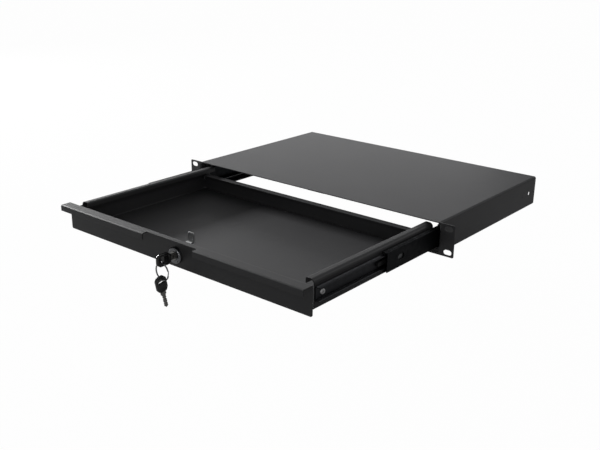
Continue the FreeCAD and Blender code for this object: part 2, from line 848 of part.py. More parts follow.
def facetted_ball(centre, radius):
    meridians = 6
    heights = (45, 0, -45)
    rings = []
    for height in heights:
        flat = radius * math.cos(math.radians(height))
        rise = radius * math.sin(math.radians(height))
        rings.append([centre + FreeCAD.Vector(flat * math.cos(2 * math.pi * step / meridians),
                                              flat * math.sin(2 * math.pi * step / meridians), rise)
                      for step in range(meridians)])
    poles = [centre + FreeCAD.Vector(0, 0, radius), centre - FreeCAD.Vector(0, 0, radius)]
    faces = []
    for step in range(meridians):
        after = (step + 1) % meridians
        faces.append([poles[0], rings[0][step], rings[0][after]])
        faces.append([poles[1], rings[-1][after], rings[-1][step]])
        for upper, lower in zip(rings, rings[1:]):
            faces.append([upper[step], lower[step], lower[after], upper[after]])
    shell = Part.makeShell([Part.Face(Part.makePolygon(corners + corners[:1])) for corners in faces])
    ball = Part.makeSolid(shell)
    return ball if ball.Volume > 0 else ball.reversed()


def make_lever(side):
    """Plastic catch lever inside the drawer member's channel."""
    body = new_body(side + "_release_lever")
    hub = size.lever_hub_radius
    half = size.lever_half_height
    nose = -size.lever_reach
    outline = new_sketch(body, "YZ_Plane", size.slide_sheet + size.lever_gap)
    meet = root(hub * hub - half * half)
    add_loop(outline, [(-meet, half), (nose, half), (nose, -half), (-meet, -half)],
             {3: ((ZERO, ZERO), hub, True)})
    pad_up(body, outline, size.lever_thickness)
    round_edges(body, "X", [(nose, half), (nose, -half)], size.lever_nose_radius)
    bore = new_sketch(body, "YZ_Plane")
    add_circle(bore, (ZERO, ZERO), size.lever_pin_radius + size.lever_pin_clearance)
    cut_both(body, bore, slide_room * 2)
    place_slide_piece(body, side, member_front + size.lever_pivot_back)


def make_lever_pins():
    """Headed pins on which the release levers turn."""
    solids = []
    y = (member_front + size.lever_pivot_back).value
    stack = (size.slide_sheet + size.lever_gap * 2 + size.lever_thickness).value
    for side in SIDES.values():
        outward = FreeCAD.Vector(side, 0, 0)
        foot = FreeCAD.Vector(side * half_tray.value, y, slide_z.value)
        shank = Part.makeCylinder(size.lever_pin_radius.value, stack, foot, outward)
        head = Part.makeCylinder(size.lever_pin_head_radius.value, size.lever_pin_head_height.value,
                                 foot + outward * stack, outward)
        solids.append(shank.fuse(head).removeSplitter())
    add_group("lever_pins", solids)


# ---------------------------------------------------------------- cam lock
def revolve_about_lock(body, spots):
    """Revolve an outline of (distance along Y, radius) about the lock's axis."""
    profile = new_sketch(body, "YZ_Plane")
    add_loop(profile, [(y, lock_z + radius) for y, radius in spots])
    axis = new_sketch(body, "YZ_Plane")
    line = axis.addGeometry(Part.LineSegment(vector((ZERO, lock_z)), vector((ZERO + 10, lock_z))), False)
    fix_point(axis, line, 1, (ZERO, lock_z))
    fix_point(axis, line, 2, (ZERO + 10, lock_z))
    turn = body.newObject("PartDesign::Revolution", body.Label + "_turn")
    turn.Profile = profile
    turn.ReferenceAxis = (axis, ["Edge1"])
    turn.Angle = 360
    doc.recompute()
    return turn


def make_lock_barrel():
    """Threaded lock body with its raised bezel in front of the panel."""
    body = new_body("lock_barrel")
    bore = size.plug_radius + size.plug_clearance
    face = panel_front - size.bezel_height
    back = panel_front + size.lock_depth
    revolve_about_lock(body, [(face, bore), (face, bore + size.bezel_flat),
                              (panel_front - size.bezel_rim, size.bezel_radius),
                              (panel_front, size.bezel_radius), (panel_front, size.lock_thread_radius),
                              (back, size.lock_thread_radius), (back, bore)])
    flats = new_sketch(body, "XZ_Plane", -panel_front)
    reach = size.lock_thread_radius + OVERRUN
    half = size.lock_flats / 2
    for side in (1, -1):
        add_box(flats, (half * side, lock_z - reach), (reach * side, lock_z + reach))
    extrude("Pocket", body, flats, size.lock_depth + OVERRUN, False)


def hexagon(centre, radius, first=0):
    """Corners of a regular hexagon, counted from the given angle."""
    angles = [math.radians(first + 60 * step) for step in range(6)]
    return [(centre[0] + radius * round(math.cos(angle), 9), centre[1] + radius * round(math.sin(angle), 9))
            for angle in angles]


def make_lock_nut():
    """Hexagonal nut that clamps the lock against the back of the panel."""
    body = new_body("lock_nut")
    sketch = new_sketch(body, "XZ_Plane", -panel_back)
    corner = size.nut_flats / 2 / math.cos(math.radians(30))
    add_loop(sketch, hexagon((ZERO, lock_z), corner))
    add_circle(sketch, (ZERO, lock_z), size.lock_thread_radius + size.plug_clearance)
    pad_into_rack(body, sketch, size.nut_height)


def make_lock_plug():
    """Turning plug with the keyway at the front and a square tang for the cam."""
    body = new_body("lock_plug")
    face = panel_front - size.bezel_height - size.plug_proud
    back = panel_front + size.lock_depth
    disc = new_sketch(body, "XZ_Plane", -face)
    add_circle(disc, (ZERO, lock_z), size.plug_radius)
    pad_into_rack(body, disc, back - face)
    tang = new_sketch(body, "XZ_Plane", -back)
    half = size.tang_width / 2
    add_box(tang, (-half, lock_z - half), (half, lock_z + half))
    pad_into_rack(body, tang, size.cam_gap + size.cam_sheet)
    keyway = new_sketch(body, "XZ_Plane", -face)
    half_width = size.blade_thickness / 2 + size.blade_clearance
    half_height = size.blade_width / 2 + size.blade_clearance
    add_box(keyway, (-half_width, lock_z - half_height), (half_width, lock_z + half_height))
    extrude("Pocket", body, keyway, size.blade_length + OVERRUN, False)


def make_lock_cam():
    """Cranked cam: foot on the tang, a step to the back, then the arm that locks."""
    body = new_body("lock_cam")
    sheet = size.cam_sheet
    step_top = lock_z + size.cam_step_height
    arm_back = cam_arm_front + sheet
    foot_back = cam_front + sheet
    profile = new_sketch(body, "YZ_Plane")
    add_loop(profile, [(cam_front, lock_z - size.cam_foot), (foot_back, lock_z - size.cam_foot),
                       (foot_back, step_top - sheet), (arm_back, step_top - sheet), (arm_back, cam_tip),
                       (cam_arm_front, cam_tip), (cam_arm_front, step_top), (cam_front, step_top)])
    pad_both(body, profile, size.cam_width)
    round_edges(body, "X", [(cam_front, step_top), (arm_back, step_top - sheet)], size.cam_bend)
    half = size.cam_width / 2
    round_edges(body, "Y", [(half, lock_z - size.cam_foot), (-half, lock_z - size.cam_foot)],
                size.cam_foot_radius)
    round_edges(body, "Y", [(half, cam_tip), (-half, cam_tip)], size.cam_tip_radius)
    hole = new_sketch(body, "XZ_Plane", -cam_front)
    half_tang = size.tang_width / 2
    add_box(hole, (-half_tang, lock_z - half_tang), (half_tang, lock_z + half_tang))
    cut_both(body, hole, sheet * THROUGH)


def make_cam_screw():
    """Hexagon-head screw that holds the cam on the plug's tang."""
    body = new_body("cam_screw")
    sketch = new_sketch(body, "XZ_Plane", -(cam_front + size.cam_sheet))
    add_loop(sketch, hexagon((ZERO, lock_z), size.cam_screw_radius, 30))
    pad_into_rack(body, sketch, size.cam_screw_height)


# ---------------------------------------------------------------- keys
# A key is drawn flat in its own frame: Y from the bow's end towards the blade's tip,
# Z across the bow, X through its thickness, with the origin at the bow's outer end.
def make_key_bow(label):
    """Plastic grip with sloped corners and an oblong slot for the ring."""
    body = new_body(label)
    length = size.bow_length
    half = size.bow_width / 2
    outline = new_sketch(body, "YZ_Plane")
    lower = [(ZERO, -size.bow_end_width / 2), (size.bow_end_slope, -half),
             (length - size.bow_root_slope, -half), (length, -size.bow_root_width / 2)]
    add_loop(outline, lower + [(y, -z) for y, z in reversed(lower)])
    outline_pad = pad_both(body, outline, size.bow_thickness)
    rim = body.newObject("PartDesign::Chamfer", label + "_rim")
    flat = [f"Edge{number}" for number, edge in enumerate(outline_pad.Shape.Edges, start=1)
            if abs(edge.Vertexes[0].Point.x - edge.Vertexes[-1].Point.x) < TOLERANCE]
    rim.Base = (outline_pad, flat)
    bind(rim, "Size", size.bow_chamfer)
    doc.recompute()
    slot = new_sketch(body, "YZ_Plane")
    radius = size.bow_slot_width / 2
    reach = size.bow_slot_length / 2 - radius
    near = size.bow_slot_inset - radius
    far = size.bow_slot_inset + radius
    add_loop(slot, [(near, reach), (near, -reach), (far, -reach), (far, reach)],
             {1: ((size.bow_slot_inset, -reach), radius, True),
              3: ((size.bow_slot_inset, reach), radius, True)})
    cut_both(body, slot, size.bow_thickness * 2)
    socket = new_sketch(body, "YZ_Plane")
    half_shoulder = size.shoulder_width / 2
    add_box(socket, (length - size.shoulder_length, -half_shoulder), (length + OVERRUN, half_shoulder))
    cut_both(body, socket, size.blade_thickness)
    return body


def make_key_blade(label):
    """Steel blade whose shoulder is moulded into the bow."""
    body = new_body(label)
    start = size.bow_length - size.shoulder_length
    stop = size.bow_length + size.shoulder_length
    tip = stop + size.blade_length
    half_shoulder = size.shoulder_width / 2
    half = size.blade_width / 2
    outline = new_sketch(body, "YZ_Plane")
    add_loop(outline, [(start, -half_shoulder), (stop, -half_shoulder), (stop, -half), (tip - half, -half),
                       (tip, ZERO), (tip - half, half), (stop, half), (stop, half_shoulder),
                       (start, half_shoulder)])
    pad_both(body, outline, size.blade_thickness)
    return body


def make_key_ring(ring_y, ring_z):
    """Ring of wire, its section a hexagon, turned about an axis along Y."""
    body = new_body("key_ring")
    section = new_sketch(body, "YZ_Plane")
    add_loop(section, hexagon((ZERO, size.ring_radius), size.ring_wire_radius))
    turn = body.newObject("PartDesign::Revolution", "key_ring_turn")
    turn.Profile = section
    turn.ReferenceAxis = (section, ["H_Axis"])
    turn.Angle = 360
    doc.recompute()
    place(body, ZERO, ring_y, ring_z)


def make_keys():
    """One key in the lock, a ring through its bow, and the spare key on the ring."""
    face = panel_front - size.bezel_height - size.plug_proud
    key_end = face - size.key_stand_off - size.bow_length - size.shoulder_length
    for piece in (make_key_bow("key_bow"), make_key_blade("key_blade")):
        place(piece, ZERO, key_end, lock_z)

    hang = size.bow_slot_length / 2 - size.ring_wire_radius - size.ring_gap
    ring_y = key_end + size.bow_slot_inset
    ring_z = lock_z - hang - size.ring_radius
    make_key_ring(ring_y, ring_z)

    # the spare hangs in one round end of its slot, so it leans until its weight is below the wire
    tilt = math.radians(size.spare_tilt.value)
    turn = Length(math.cos(tilt), "cos(Sizes.spare_tilt * 1 deg)")
    lean = Length(math.sin(tilt), "sin(Sizes.spare_tilt * 1 deg)")
    radius = size.bow_slot_width / 2
    play = radius - size.ring_wire_radius - size.ring_gap
    along = size.bow_slot_inset - play * turn
    across = size.bow_slot_length / 2 - radius + play * lean
    spare_y = ring_y - along * lean - across * turn
    spare_z = ring_z - size.ring_radius + along * turn - across * lean
    for piece in (make_key_bow("spare_key_bow"), make_key_blade("spare_key_blade")):
        place(piece, ZERO, spare_y, spare_z, (1, 0, 0), size.spare_tilt - 90)


# ---------------------------------------------------------------- the whole drawer
def build():
    make_housing_shell()
    make_lock_strike()
    make_cabinet_screws()
    make_drawer_tray()
    make_back_wall()
    make_front_panel()
    make_drawer_screws()
    make_lever_pins()
    outer_rows = (size.outer_race_out, size.outer_race_up)
    inner_rows = (size.inner_race_out, inner_race_up)
    outer_web = size.middle_web_out + (slide_room - size.slide_sheet - size.middle_web_out
                                       - size.cage_sheet) / 2
    inner_web = size.drawer_member_width + size.cage_gap
    outer_edge = size.outer_race_out - size.ball_radius - size.ball_window_clearance - size.cage_sheet
    inner_edge = size.inner_race_out - size.ball_radius - size.ball_window_clearance - size.cage_sheet
    outer_front = size.cabinet_front + size.cage_inset
    inner_front = middle_front + size.cage_inset
    for side in SIDES:
        make_cabinet_member(side)
        make_bumper(side)
        make_middle_member(side)
        make_drawer_member(side)
        make_lever(side)
        make_cage(side + "_outer_cage", side, outer_rows, outer_web, outer_edge, outer_front)
        make_cage(side + "_inner_cage", side, inner_rows, inner_web, inner_edge, inner_front)
        make_balls(side + "_outer_balls", side, outer_rows, outer_front)
        make_balls(side + "_inner_balls", side, inner_rows, inner_front)
    make_lock_barrel()
    make_lock_nut()
    make_lock_plug()
    make_lock_cam()
    make_cam_screw()
    make_keys()


def check():
    doc.recompute()
    for item in doc.Objects:
        if "Invalid" in item.State or "Error" in item.State:
            raise RuntimeError("failed: " + item.Label)
    for part in parts:
        if part.Shape.isNull() or not part.Shape.isValid() or part.Shape.Volume <= 0:
            raise RuntimeError("bad shape: " + part.Label)


def write():
    os.makedirs("parts", exist_ok=True)
    for part in parts:
        part.Shape.exportStep(os.path.join("parts", part.Label + ".step"))


build()
check()
write()
print(len(parts), "sub-parts written")
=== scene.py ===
# %% [markdown]
# A rack drawer, dressed for a studio picture
# The part arrives as a fixed frame of rigid pieces: a bent housing, a shallow tray on ball slides,
# and a cam lock. Nothing here moves or resizes them. This notebook gives each one its finish,
# models the small hardware in full, and then sets the floor, the lamps and the camera.

# %% Load the frame
import bpy
import bmesh
import json
import math
from mathutils import Matrix, Vector


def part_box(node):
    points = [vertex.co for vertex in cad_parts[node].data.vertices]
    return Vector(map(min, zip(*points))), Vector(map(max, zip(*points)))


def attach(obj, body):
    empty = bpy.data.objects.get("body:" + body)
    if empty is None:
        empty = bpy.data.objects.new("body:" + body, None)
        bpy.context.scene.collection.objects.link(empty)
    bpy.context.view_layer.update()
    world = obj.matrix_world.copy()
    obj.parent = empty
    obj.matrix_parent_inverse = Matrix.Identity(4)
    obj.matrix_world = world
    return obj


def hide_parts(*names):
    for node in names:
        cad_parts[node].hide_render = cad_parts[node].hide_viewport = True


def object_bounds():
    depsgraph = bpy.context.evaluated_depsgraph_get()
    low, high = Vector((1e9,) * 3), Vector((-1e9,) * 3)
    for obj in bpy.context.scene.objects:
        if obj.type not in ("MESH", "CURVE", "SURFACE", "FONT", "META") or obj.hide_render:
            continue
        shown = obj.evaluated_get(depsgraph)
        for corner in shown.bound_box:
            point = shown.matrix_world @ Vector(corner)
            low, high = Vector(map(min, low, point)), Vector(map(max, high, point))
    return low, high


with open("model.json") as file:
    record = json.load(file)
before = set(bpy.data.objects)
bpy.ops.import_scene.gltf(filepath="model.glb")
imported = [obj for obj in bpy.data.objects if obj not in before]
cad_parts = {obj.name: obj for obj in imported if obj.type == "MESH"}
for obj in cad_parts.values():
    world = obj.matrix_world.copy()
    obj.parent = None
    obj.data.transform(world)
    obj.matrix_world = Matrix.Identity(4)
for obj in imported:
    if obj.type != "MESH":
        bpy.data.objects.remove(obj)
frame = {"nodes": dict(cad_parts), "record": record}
nodes = frame["nodes"]
MM = 0.001
cad_low, cad_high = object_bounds()
print("pieces in the frame:", len(nodes))
print("size in mm:", [round(length / MM, 1) for length in cad_high - cad_low])

# %% [markdown]
# Colours and shader nodes
# A paint maker's hex value is sRGB, and shaders work in linear light, so one function turns one
# into the other. A second function adds any shader node: settings are its own options, inputs are
# numbers or other nodes' outputs.

# %% Two helpers for every finish
def linear(code):
    """sRGB hex such as 1b1c1e to linear red, green, blue and alpha."""
    shares = [int(code[place:place + 2], 16) / 255 for place in (0, 2, 4)]
    return [share / 12.92 if share <= 0.04045 else ((share + 0.055) / 1.055) ** 2.4
            for share in shares] + [1]


def paler(code, share):
    """The colour of a hex value with its light multiplied by a share."""
    return [light * share for light in linear(code)[:3]] + [1]


def add(tree, kind, settings=None, inputs=None):
    """Add a node to a tree, set its options, and set or link its inputs."""
    node = tree.nodes.new(kind)
    for name, value in (settings or {}).items():
        setattr(node, name, value)
    for name, value in (inputs or {}).items():
        if isinstance(value, bpy.types.NodeSocket):
            tree.links.new(value, node.inputs[name])
        else:
            node.inputs[name].default_value = value
    return node


def new_material(name):
    """A new material without any nodes, and its node tree."""
    material = bpy.data.materials.new(name)
    material.use_nodes = True
    material.node_tree.nodes.clear()
    return material, material.node_tree


print("sRGB 808080 is", round(linear("808080")[0], 3), "in linear light")

# %% [markdown]
# Black powder coat
# The sheets are sprayed with dry polyester powder and baked. The powder melts into a skin that is
# never quite flat: it keeps a fine grain, finer than a millimetre, under a slower ripple that
# painters call orange peel. The skin also draws back from sharp edges, so a cut edge catches the
# light as a thin paler line. The grain is drawn a little coarser than the real 0.3 mm, because
# finer grain would vanish between the samples.

# %% Powder coat
CLOUD_MM = 70          # slow drift of the tint over a sheet
PAINT_IOR = 1.45
NOISE_LOW = 0.3        # most of a noise texture's values lie between these two
NOISE_HIGH = 0.7
BEVEL_SAMPLES = 4


def powder_coat(name, colour, roughness, grain_mm=0.7, peel_mm=4.0, edge_mm=0.35):
    material, tree = new_material(name)
    place = add(tree, "ShaderNodeTexCoord").outputs["Object"]
    grain = add(tree, "ShaderNodeTexNoise", inputs={
        "Vector": place, "Scale": 1 / (grain_mm * MM), "Detail": 3})
    peel = add(tree, "ShaderNodeTexNoise", inputs={
        "Vector": place, "Scale": 1 / (peel_mm * MM), "Detail": 1})
    cloud = add(tree, "ShaderNodeTexNoise", inputs={
        "Vector": place, "Scale": 1 / (CLOUD_MM * MM), "Detail": 2})
    rounded = add(tree, "ShaderNodeBevel", {"samples": BEVEL_SAMPLES}, {"Radius": edge_mm * MM})
    ripple = add(tree, "ShaderNodeBump", inputs={
        "Height": peel.outputs["Fac"], "Normal": rounded.outputs["Normal"],
        "Strength": 0.25, "Distance": 0.05 * MM})
    rough = add(tree, "ShaderNodeBump", inputs={
        "Height": grain.outputs["Fac"], "Normal": ripple.outputs["Normal"],
        "Strength": 0.5, "Distance": 0.06 * MM})
    tint = add(tree, "ShaderNodeMix", {"data_type": "RGBA"}, {
        0: cloud.outputs["Fac"], 6: linear(colour), 7: paler(colour, 1.35)})
    spread = add(tree, "ShaderNodeMapRange", inputs={
        "Value": grain.outputs["Fac"], "From Min": NOISE_LOW, "From Max": NOISE_HIGH,
        "To Min": roughness - 0.04, "To Max": roughness + 0.04})
    shader = add(tree, "ShaderNodeBsdfPrincipled", inputs={
        "Base Color": tint.outputs[2], "Roughness": spread.outputs["Result"],
        "IOR": PAINT_IOR, "Normal": rough.outputs["Normal"]})
    add(tree, "ShaderNodeOutputMaterial", inputs={"Surface": shader.outputs["BSDF"]})
    return material


finishes = {
    "housing_sheet": powder_coat("black powder coat on the housing", "353536", 0.42),
    "tray_sheet": powder_coat("black powder coat on the tray", "2e2e2f", 0.45),
    "panel_sheet": powder_coat("black powder coat on the panel", "2c2c2d", 0.44),
}
print("coats:", list(finishes))

# %% [markdown]
# Plated and polished metal
# The slides are cold-rolled steel with a black zinc plating, which stays metallic but dark, and the
# rolling leaves faint lines along their length. Screws, cages and the cam have bright zinc. The
# bezel is chromed, and its chrome is coloured darker than bare chrome: painted shade for the dark
# surroundings it would mirror. The ring is polished spring steel.

# %% Metals
STAIN_MM = 9           # size of the faint patches in a plating


def plated_metal(name, colour, roughness, line_mm=0.4, line_depth=0.15, edge_mm=0.2,
                 stretch=(1, 0.02, 1)):
    material, tree = new_material(name)
    place = add(tree, "ShaderNodeTexCoord").outputs["Object"]
    drawn = add(tree, "ShaderNodeMapping", inputs={"Vector": place, "Scale": stretch})
    lines = add(tree, "ShaderNodeTexNoise", inputs={
        "Vector": drawn.outputs["Vector"], "Scale": 1 / (line_mm * MM), "Detail": 2})
    stain = add(tree, "ShaderNodeTexNoise", inputs={
        "Vector": place, "Scale": 1 / (STAIN_MM * MM), "Detail": 3})
    rounded = add(tree, "ShaderNodeBevel", {"samples": BEVEL_SAMPLES}, {"Radius": edge_mm * MM})
    bump = add(tree, "ShaderNodeBump", inputs={
        "Height": lines.outputs["Fac"], "Normal": rounded.outputs["Normal"],
        "Strength": line_depth, "Distance": 0.03 * MM})
    spread = add(tree, "ShaderNodeMapRange", inputs={
        "Value": stain.outputs["Fac"], "From Min": NOISE_LOW, "From Max": NOISE_HIGH,
        "To Min": roughness * 0.8, "To Max": roughness * 1.2})
    tint = add(tree, "ShaderNodeMix", {"data_type": "RGBA"}, {
        0: stain.outputs["Fac"], 6: linear(colour), 7: paler(colour, 0.75)})
    shader = add(tree, "ShaderNodeBsdfPrincipled", inputs={
        "Base Color": tint.outputs[2], "Roughness": spread.outputs["Result"],
        "Metallic": 1, "Normal": bump.outputs["Normal"]})
    add(tree, "ShaderNodeOutputMaterial", inputs={"Surface": shader.outputs["BSDF"]})
    return material


finishes["slide_steel"] = plated_metal("black zinc on rolled steel", "505154", 0.42)
finishes["cage_steel"] = plated_metal("bright zinc on cage strip", "8e8f90", 0.35)
finishes["bearing_balls"] = plated_metal("hardened ball steel", "c8c9cc", 0.1, line_depth=0)
finishes["zinc_screws"] = plated_metal("bright zinc on screws", "ececec", 0.4, stretch=(1, 1, 1))
finishes["zinc_cam"] = plated_metal("zinc on the cast cam", "b4b5b5", 0.45, stretch=(1, 1, 1))
# Painted shade: the chrome's colour is darker than bare chrome, for the dark surroundings it
# mirrors
finishes["chromed_lock"] = plated_metal(
    "polished chrome on the lock", "868789", 0.1, line_depth=0.02)
finishes["lock_core"] = plated_metal("satin nickel on the plug", "9b9a97", 0.3, stretch=(1, 1, 1))
finishes["key_steel"] = plated_metal("nickel on key steel", "8b8a87", 0.25)
finishes["ring_steel"] = plated_metal("polished spring steel", "b5b6b8", 0.15, line_depth=0.05)
print("coats and metals:", len(finishes))

# %% [markdown]
# Moulded black plastic and rubber
# Key bows are moulded in glossy ABS, with the slight waviness of a cooling skin. The slides' levers
# are acetal, which is duller and a little waxy, and the stops are rubber.

# %% Plastics
def moulded(name, colour, roughness, wave_mm=2.5, depth=0.2, edge_mm=0.4, ior=1.53):
    material, tree = new_material(name)
    place = add(tree, "ShaderNodeTexCoord").outputs["Object"]
    wave = add(tree, "ShaderNodeTexNoise", inputs={
        "Vector": place, "Scale": 1 / (wave_mm * MM), "Detail": 2})
    rounded = add(tree, "ShaderNodeBevel", {"samples": BEVEL_SAMPLES}, {"Radius": edge_mm * MM})
    bump = add(tree, "ShaderNodeBump", inputs={
        "Height": wave.outputs["Fac"], "Normal": rounded.outputs["Normal"],
        "Strength": depth, "Distance": 0.1 * MM})
    spread = add(tree, "ShaderNodeMapRange", inputs={
        "Value": wave.outputs["Fac"], "From Min": NOISE_LOW, "From Max": NOISE_HIGH,
        "To Min": roughness * 0.85, "To Max": roughness * 1.15})
    tint = add(tree, "ShaderNodeMix", {"data_type": "RGBA"}, {
        0: wave.outputs["Fac"], 6: linear(colour), 7: paler(colour, 1.4)})
    shader = add(tree, "ShaderNodeBsdfPrincipled", inputs={
        "Base Color": tint.outputs[2], "Roughness": spread.outputs["Result"],
        "IOR": ior, "Normal": bump.outputs["Normal"]})
    add(tree, "ShaderNodeOutputMaterial", inputs={"Surface": shader.outputs["BSDF"]})
    return material


finishes["key_plastic"] = moulded("glossy ABS on key bows", "141414", 0.22)
finishes["lever_plastic"] = moulded("black acetal on levers", "191919", 0.45, ior=1.48)
finishes["bumper_rubber"] = moulded("black rubber on stops", "121212", 0.7, ior=1.52)
print("finishes in all:", len(finishes))

# %% Give every frame piece its finish
for part in frame["record"]["subparts"]:
    piece = nodes[part["node"]]
    piece.data.materials.clear()
    piece.data.materials.append(finishes[part["material_slot"]])

# %% [markdown]
# Darker middle members
# The middle members look darker than the drawer members beside them, so they get a darker and
# rougher plating of their own. The darker colour is painted shade, for the shade that falls on them
# between the housing and the tray. Their place, shape and slot stay as they are.

# %% Darker plating as painted shade
# Painted shade: a darker copy of the black zinc, where shade falls on the middle members
shade_darkened = plated_metal("greased black zinc on the middle members", "2b2c2e", 0.5)
for node in ("right_middle_member", "left_middle_member"):
    nodes[node].data.materials[0] = shade_darkened
print("greased:", shade_darkened.name)

# %% [markdown]
# Bends that look rolled, edges that look sheared
# A frame piece arrives as loose flat triangles, so a bend would shade as strips and a cut edge as
# sharp as a knife. Modifiers mend both and leave the mesh as it is: Weld joins the triangles, a
# planar Decimate dissolves the flat ones into whole faces, and Bevel eases each sharp edge by the
# tenths of a millimetre that shearing and paint leave. A short node tree then shades everything
# smooth, and keeps sharp only the edges steeper than a given angle. Last, Weighted Normal turns the
# shading level on the large faces, so that only the eased edges curve.

# %% A node tree that shades by angle
SHARP_DEGREES = 32     # edges steeper than this stay sharp


def add_input(tree, name, kind, value):
    """Add a named input to a Geometry Nodes tree and return its identifier."""
    socket = tree.interface.new_socket(name, in_out="INPUT", socket_type=kind)
    if value is not None:
        socket.default_value = value
    return socket.identifier


def new_geometry_tree(name):
    """A Geometry Nodes tree with geometry in and out."""
    tree = bpy.data.node_groups.new(name, "GeometryNodeTree")
    tree.interface.new_socket("Geometry", in_out="INPUT", socket_type="NodeSocketGeometry")
    tree.interface.new_socket("Geometry", in_out="OUTPUT", socket_type="NodeSocketGeometry")
    return tree


shade_tree = new_geometry_tree("shade_by_angle")
angle_input = add_input(shade_tree, "Sharp angle", "NodeSocketFloat", math.radians(SHARP_DEGREES))
given = add(shade_tree, "NodeGroupInput").outputs
turned = add(shade_tree, "GeometryNodeInputMeshEdgeAngle")
gentle = add(shade_tree, "FunctionNodeCompare", {"data_type": "FLOAT", "operation": "LESS_THAN"}, {
    0: turned.outputs["Unsigned Angle"], 1: given["Sharp angle"]})
faces = add(shade_tree, "GeometryNodeSetShadeSmooth", {"domain": "FACE"}, {
    "Geometry": given["Geometry"]})
edges = add(shade_tree, "GeometryNodeSetShadeSmooth", {"domain": "EDGE"}, {
    "Geometry": faces.outputs["Geometry"], "Shade Smooth": gentle.outputs["Result"]})
add(shade_tree, "NodeGroupOutput", inputs={"Geometry": edges.outputs["Geometry"]})
print("edges kept sharp above", SHARP_DEGREES, "degrees")

# %% Modifiers that join, flatten, ease and shade a frame piece
JOIN_MM = 0.001
FLAT_DEGREES = 0.5
EASE_DEGREES = 40      # only edges steeper than this are eased


def ease(piece, width_mm, segments=2):
    """Join the triangles, ease the sharp edges and shade by angle, all as modifiers."""
    weld = piece.modifiers.new("join", "WELD")
    weld.merge_threshold = JOIN_MM * MM
    planar = piece.modifiers.new("flatten", "DECIMATE")
    planar.decimate_type = "DISSOLVE"
    planar.angle_limit = math.radians(FLAT_DEGREES)
    if width_mm:
        bevel = piece.modifiers.new("ease", "BEVEL")
        bevel.width = width_mm * MM
        bevel.segments = segments
        bevel.limit_method = "ANGLE"
        bevel.angle_limit = math.radians(EASE_DEGREES)
        bevel.use_clamp_overlap = True
        bevel.miter_outer = "MITER_ARC"
    by_angle = piece.modifiers.new("shade", "NODES")
    by_angle.node_group = shade_tree
    by_angle[angle_input] = math.radians(SHARP_DEGREES)
    level = piece.modifiers.new("level", "WEIGHTED_NORMAL")
    level.mode = "FACE_AREA"
    level.keep_sharp = True


# %% Ease the frame's pieces
EASED_MM = {"housing_sheet": 0.25, "tray_sheet": 0.25, "panel_sheet": 0.3, "slide_steel": 0.2,
            "cage_steel": 0.08, "zinc_cam": 0.3, "lever_plastic": 0.3, "bumper_rubber": 0.3}
for part in frame["record"]["subparts"]:
    if part["material_slot"] in EASED_MM:
        ease(nodes[part["node"]], EASED_MM[part["material_slot"]])
print("eased slots:", list(EASED_MM))

# %% [markdown]
# Bearing balls, placed by Geometry Nodes
# Each cage carries two rows of hardened steel balls. In the frame they are coarse solids, good
# enough to weigh. Here a node tree lays a line of points for each row, sets a smooth sphere on
# every point, and realizes the result. Count and pitch repeat the frame's own, so that every ball
# sits in its window of the cage.

# %% Turn a node tree's result into a plain piece
def grow(tree, settings, name, body, slot, replaced):
    """Evaluate a tree on an empty mesh with the given inputs, and keep the result."""
    seed = bpy.data.objects.new(name + "_seed", bpy.data.meshes.new(name + "_seed"))
    bpy.context.scene.collection.objects.link(seed)
    grown = seed.modifiers.new("grow", "NODES")
    grown.node_group = tree
    identifiers = {item.name: item.identifier for item in tree.interface.items_tree
                   if item.in_out == "INPUT"}
    for label, value in settings.items():
        grown[identifiers[label]] = value
    evaluated = seed.evaluated_get(bpy.context.evaluated_depsgraph_get())
    mesh = bpy.data.meshes.new_from_object(evaluated)
    bpy.data.objects.remove(seed)
    return keep_piece(mesh, name, body, slot, replaced)


def keep_piece(mesh, name, body, slot, replaced=()):
    """Put a finished mesh in the scene on its body, with its finish, in place of frame pieces."""
    mesh.name = name
    if not mesh.materials:
        mesh.materials.append(finishes[slot])
    piece = bpy.data.objects.new(name, mesh)
    bpy.context.scene.collection.objects.link(piece)
    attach(piece, body)
    if replaced:
        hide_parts(*replaced)
    return piece


# %% A tree of two ball rows
BALL_RADIUS = 1.75 * MM
BALLS_PER_ROW = 4
BALL_SEGMENTS = 24
BALL_RINGS = 12
ball_tree = new_geometry_tree("two_ball_rows")
add_input(ball_tree, "Balls per row", "NodeSocketInt", BALLS_PER_ROW)
add_input(ball_tree, "Radius", "NodeSocketFloat", BALL_RADIUS)
add_input(ball_tree, "First ball", "NodeSocketVector", None)
add_input(ball_tree, "Pitch", "NodeSocketVector", None)
add_input(ball_tree, "To other row", "NodeSocketVector", None)
add_input(ball_tree, "Steel", "NodeSocketMaterial", None)
given = add(ball_tree, "NodeGroupInput").outputs
row = add(ball_tree, "GeometryNodeMeshLine", {"mode": "OFFSET"}, {
    "Count": given["Balls per row"], "Start Location": given["First ball"],
    "Offset": given["Pitch"]})
other = add(ball_tree, "GeometryNodeTransform", inputs={
    "Geometry": row.outputs["Mesh"], "Translation": given["To other row"]})
rows = add(ball_tree, "GeometryNodeJoinGeometry")
ball_tree.links.new(other.outputs["Geometry"], rows.inputs["Geometry"])
ball_tree.links.new(row.outputs["Mesh"], rows.inputs["Geometry"])
ball = add(ball_tree, "GeometryNodeMeshUVSphere", inputs={
    "Segments": BALL_SEGMENTS, "Rings": BALL_RINGS, "Radius": given["Radius"]})
smooth = add(ball_tree, "GeometryNodeSetShadeSmooth", inputs={"Geometry": ball.outputs["Mesh"]})
placed = add(ball_tree, "GeometryNodeInstanceOnPoints", inputs={
    "Points": rows.outputs["Geometry"], "Instance": smooth.outputs["Geometry"]})
real = add(ball_tree, "GeometryNodeRealizeInstances", inputs={
    "Geometry": placed.outputs["Instances"]})
steel = add(ball_tree, "GeometryNodeSetMaterial", inputs={
    "Geometry": real.outputs["Geometry"], "Material": given["Steel"]})
add(ball_tree, "NodeGroupOutput", inputs={"Geometry": steel.outputs["Geometry"]})
print("nodes in the tree of balls:", len(ball_tree.nodes))

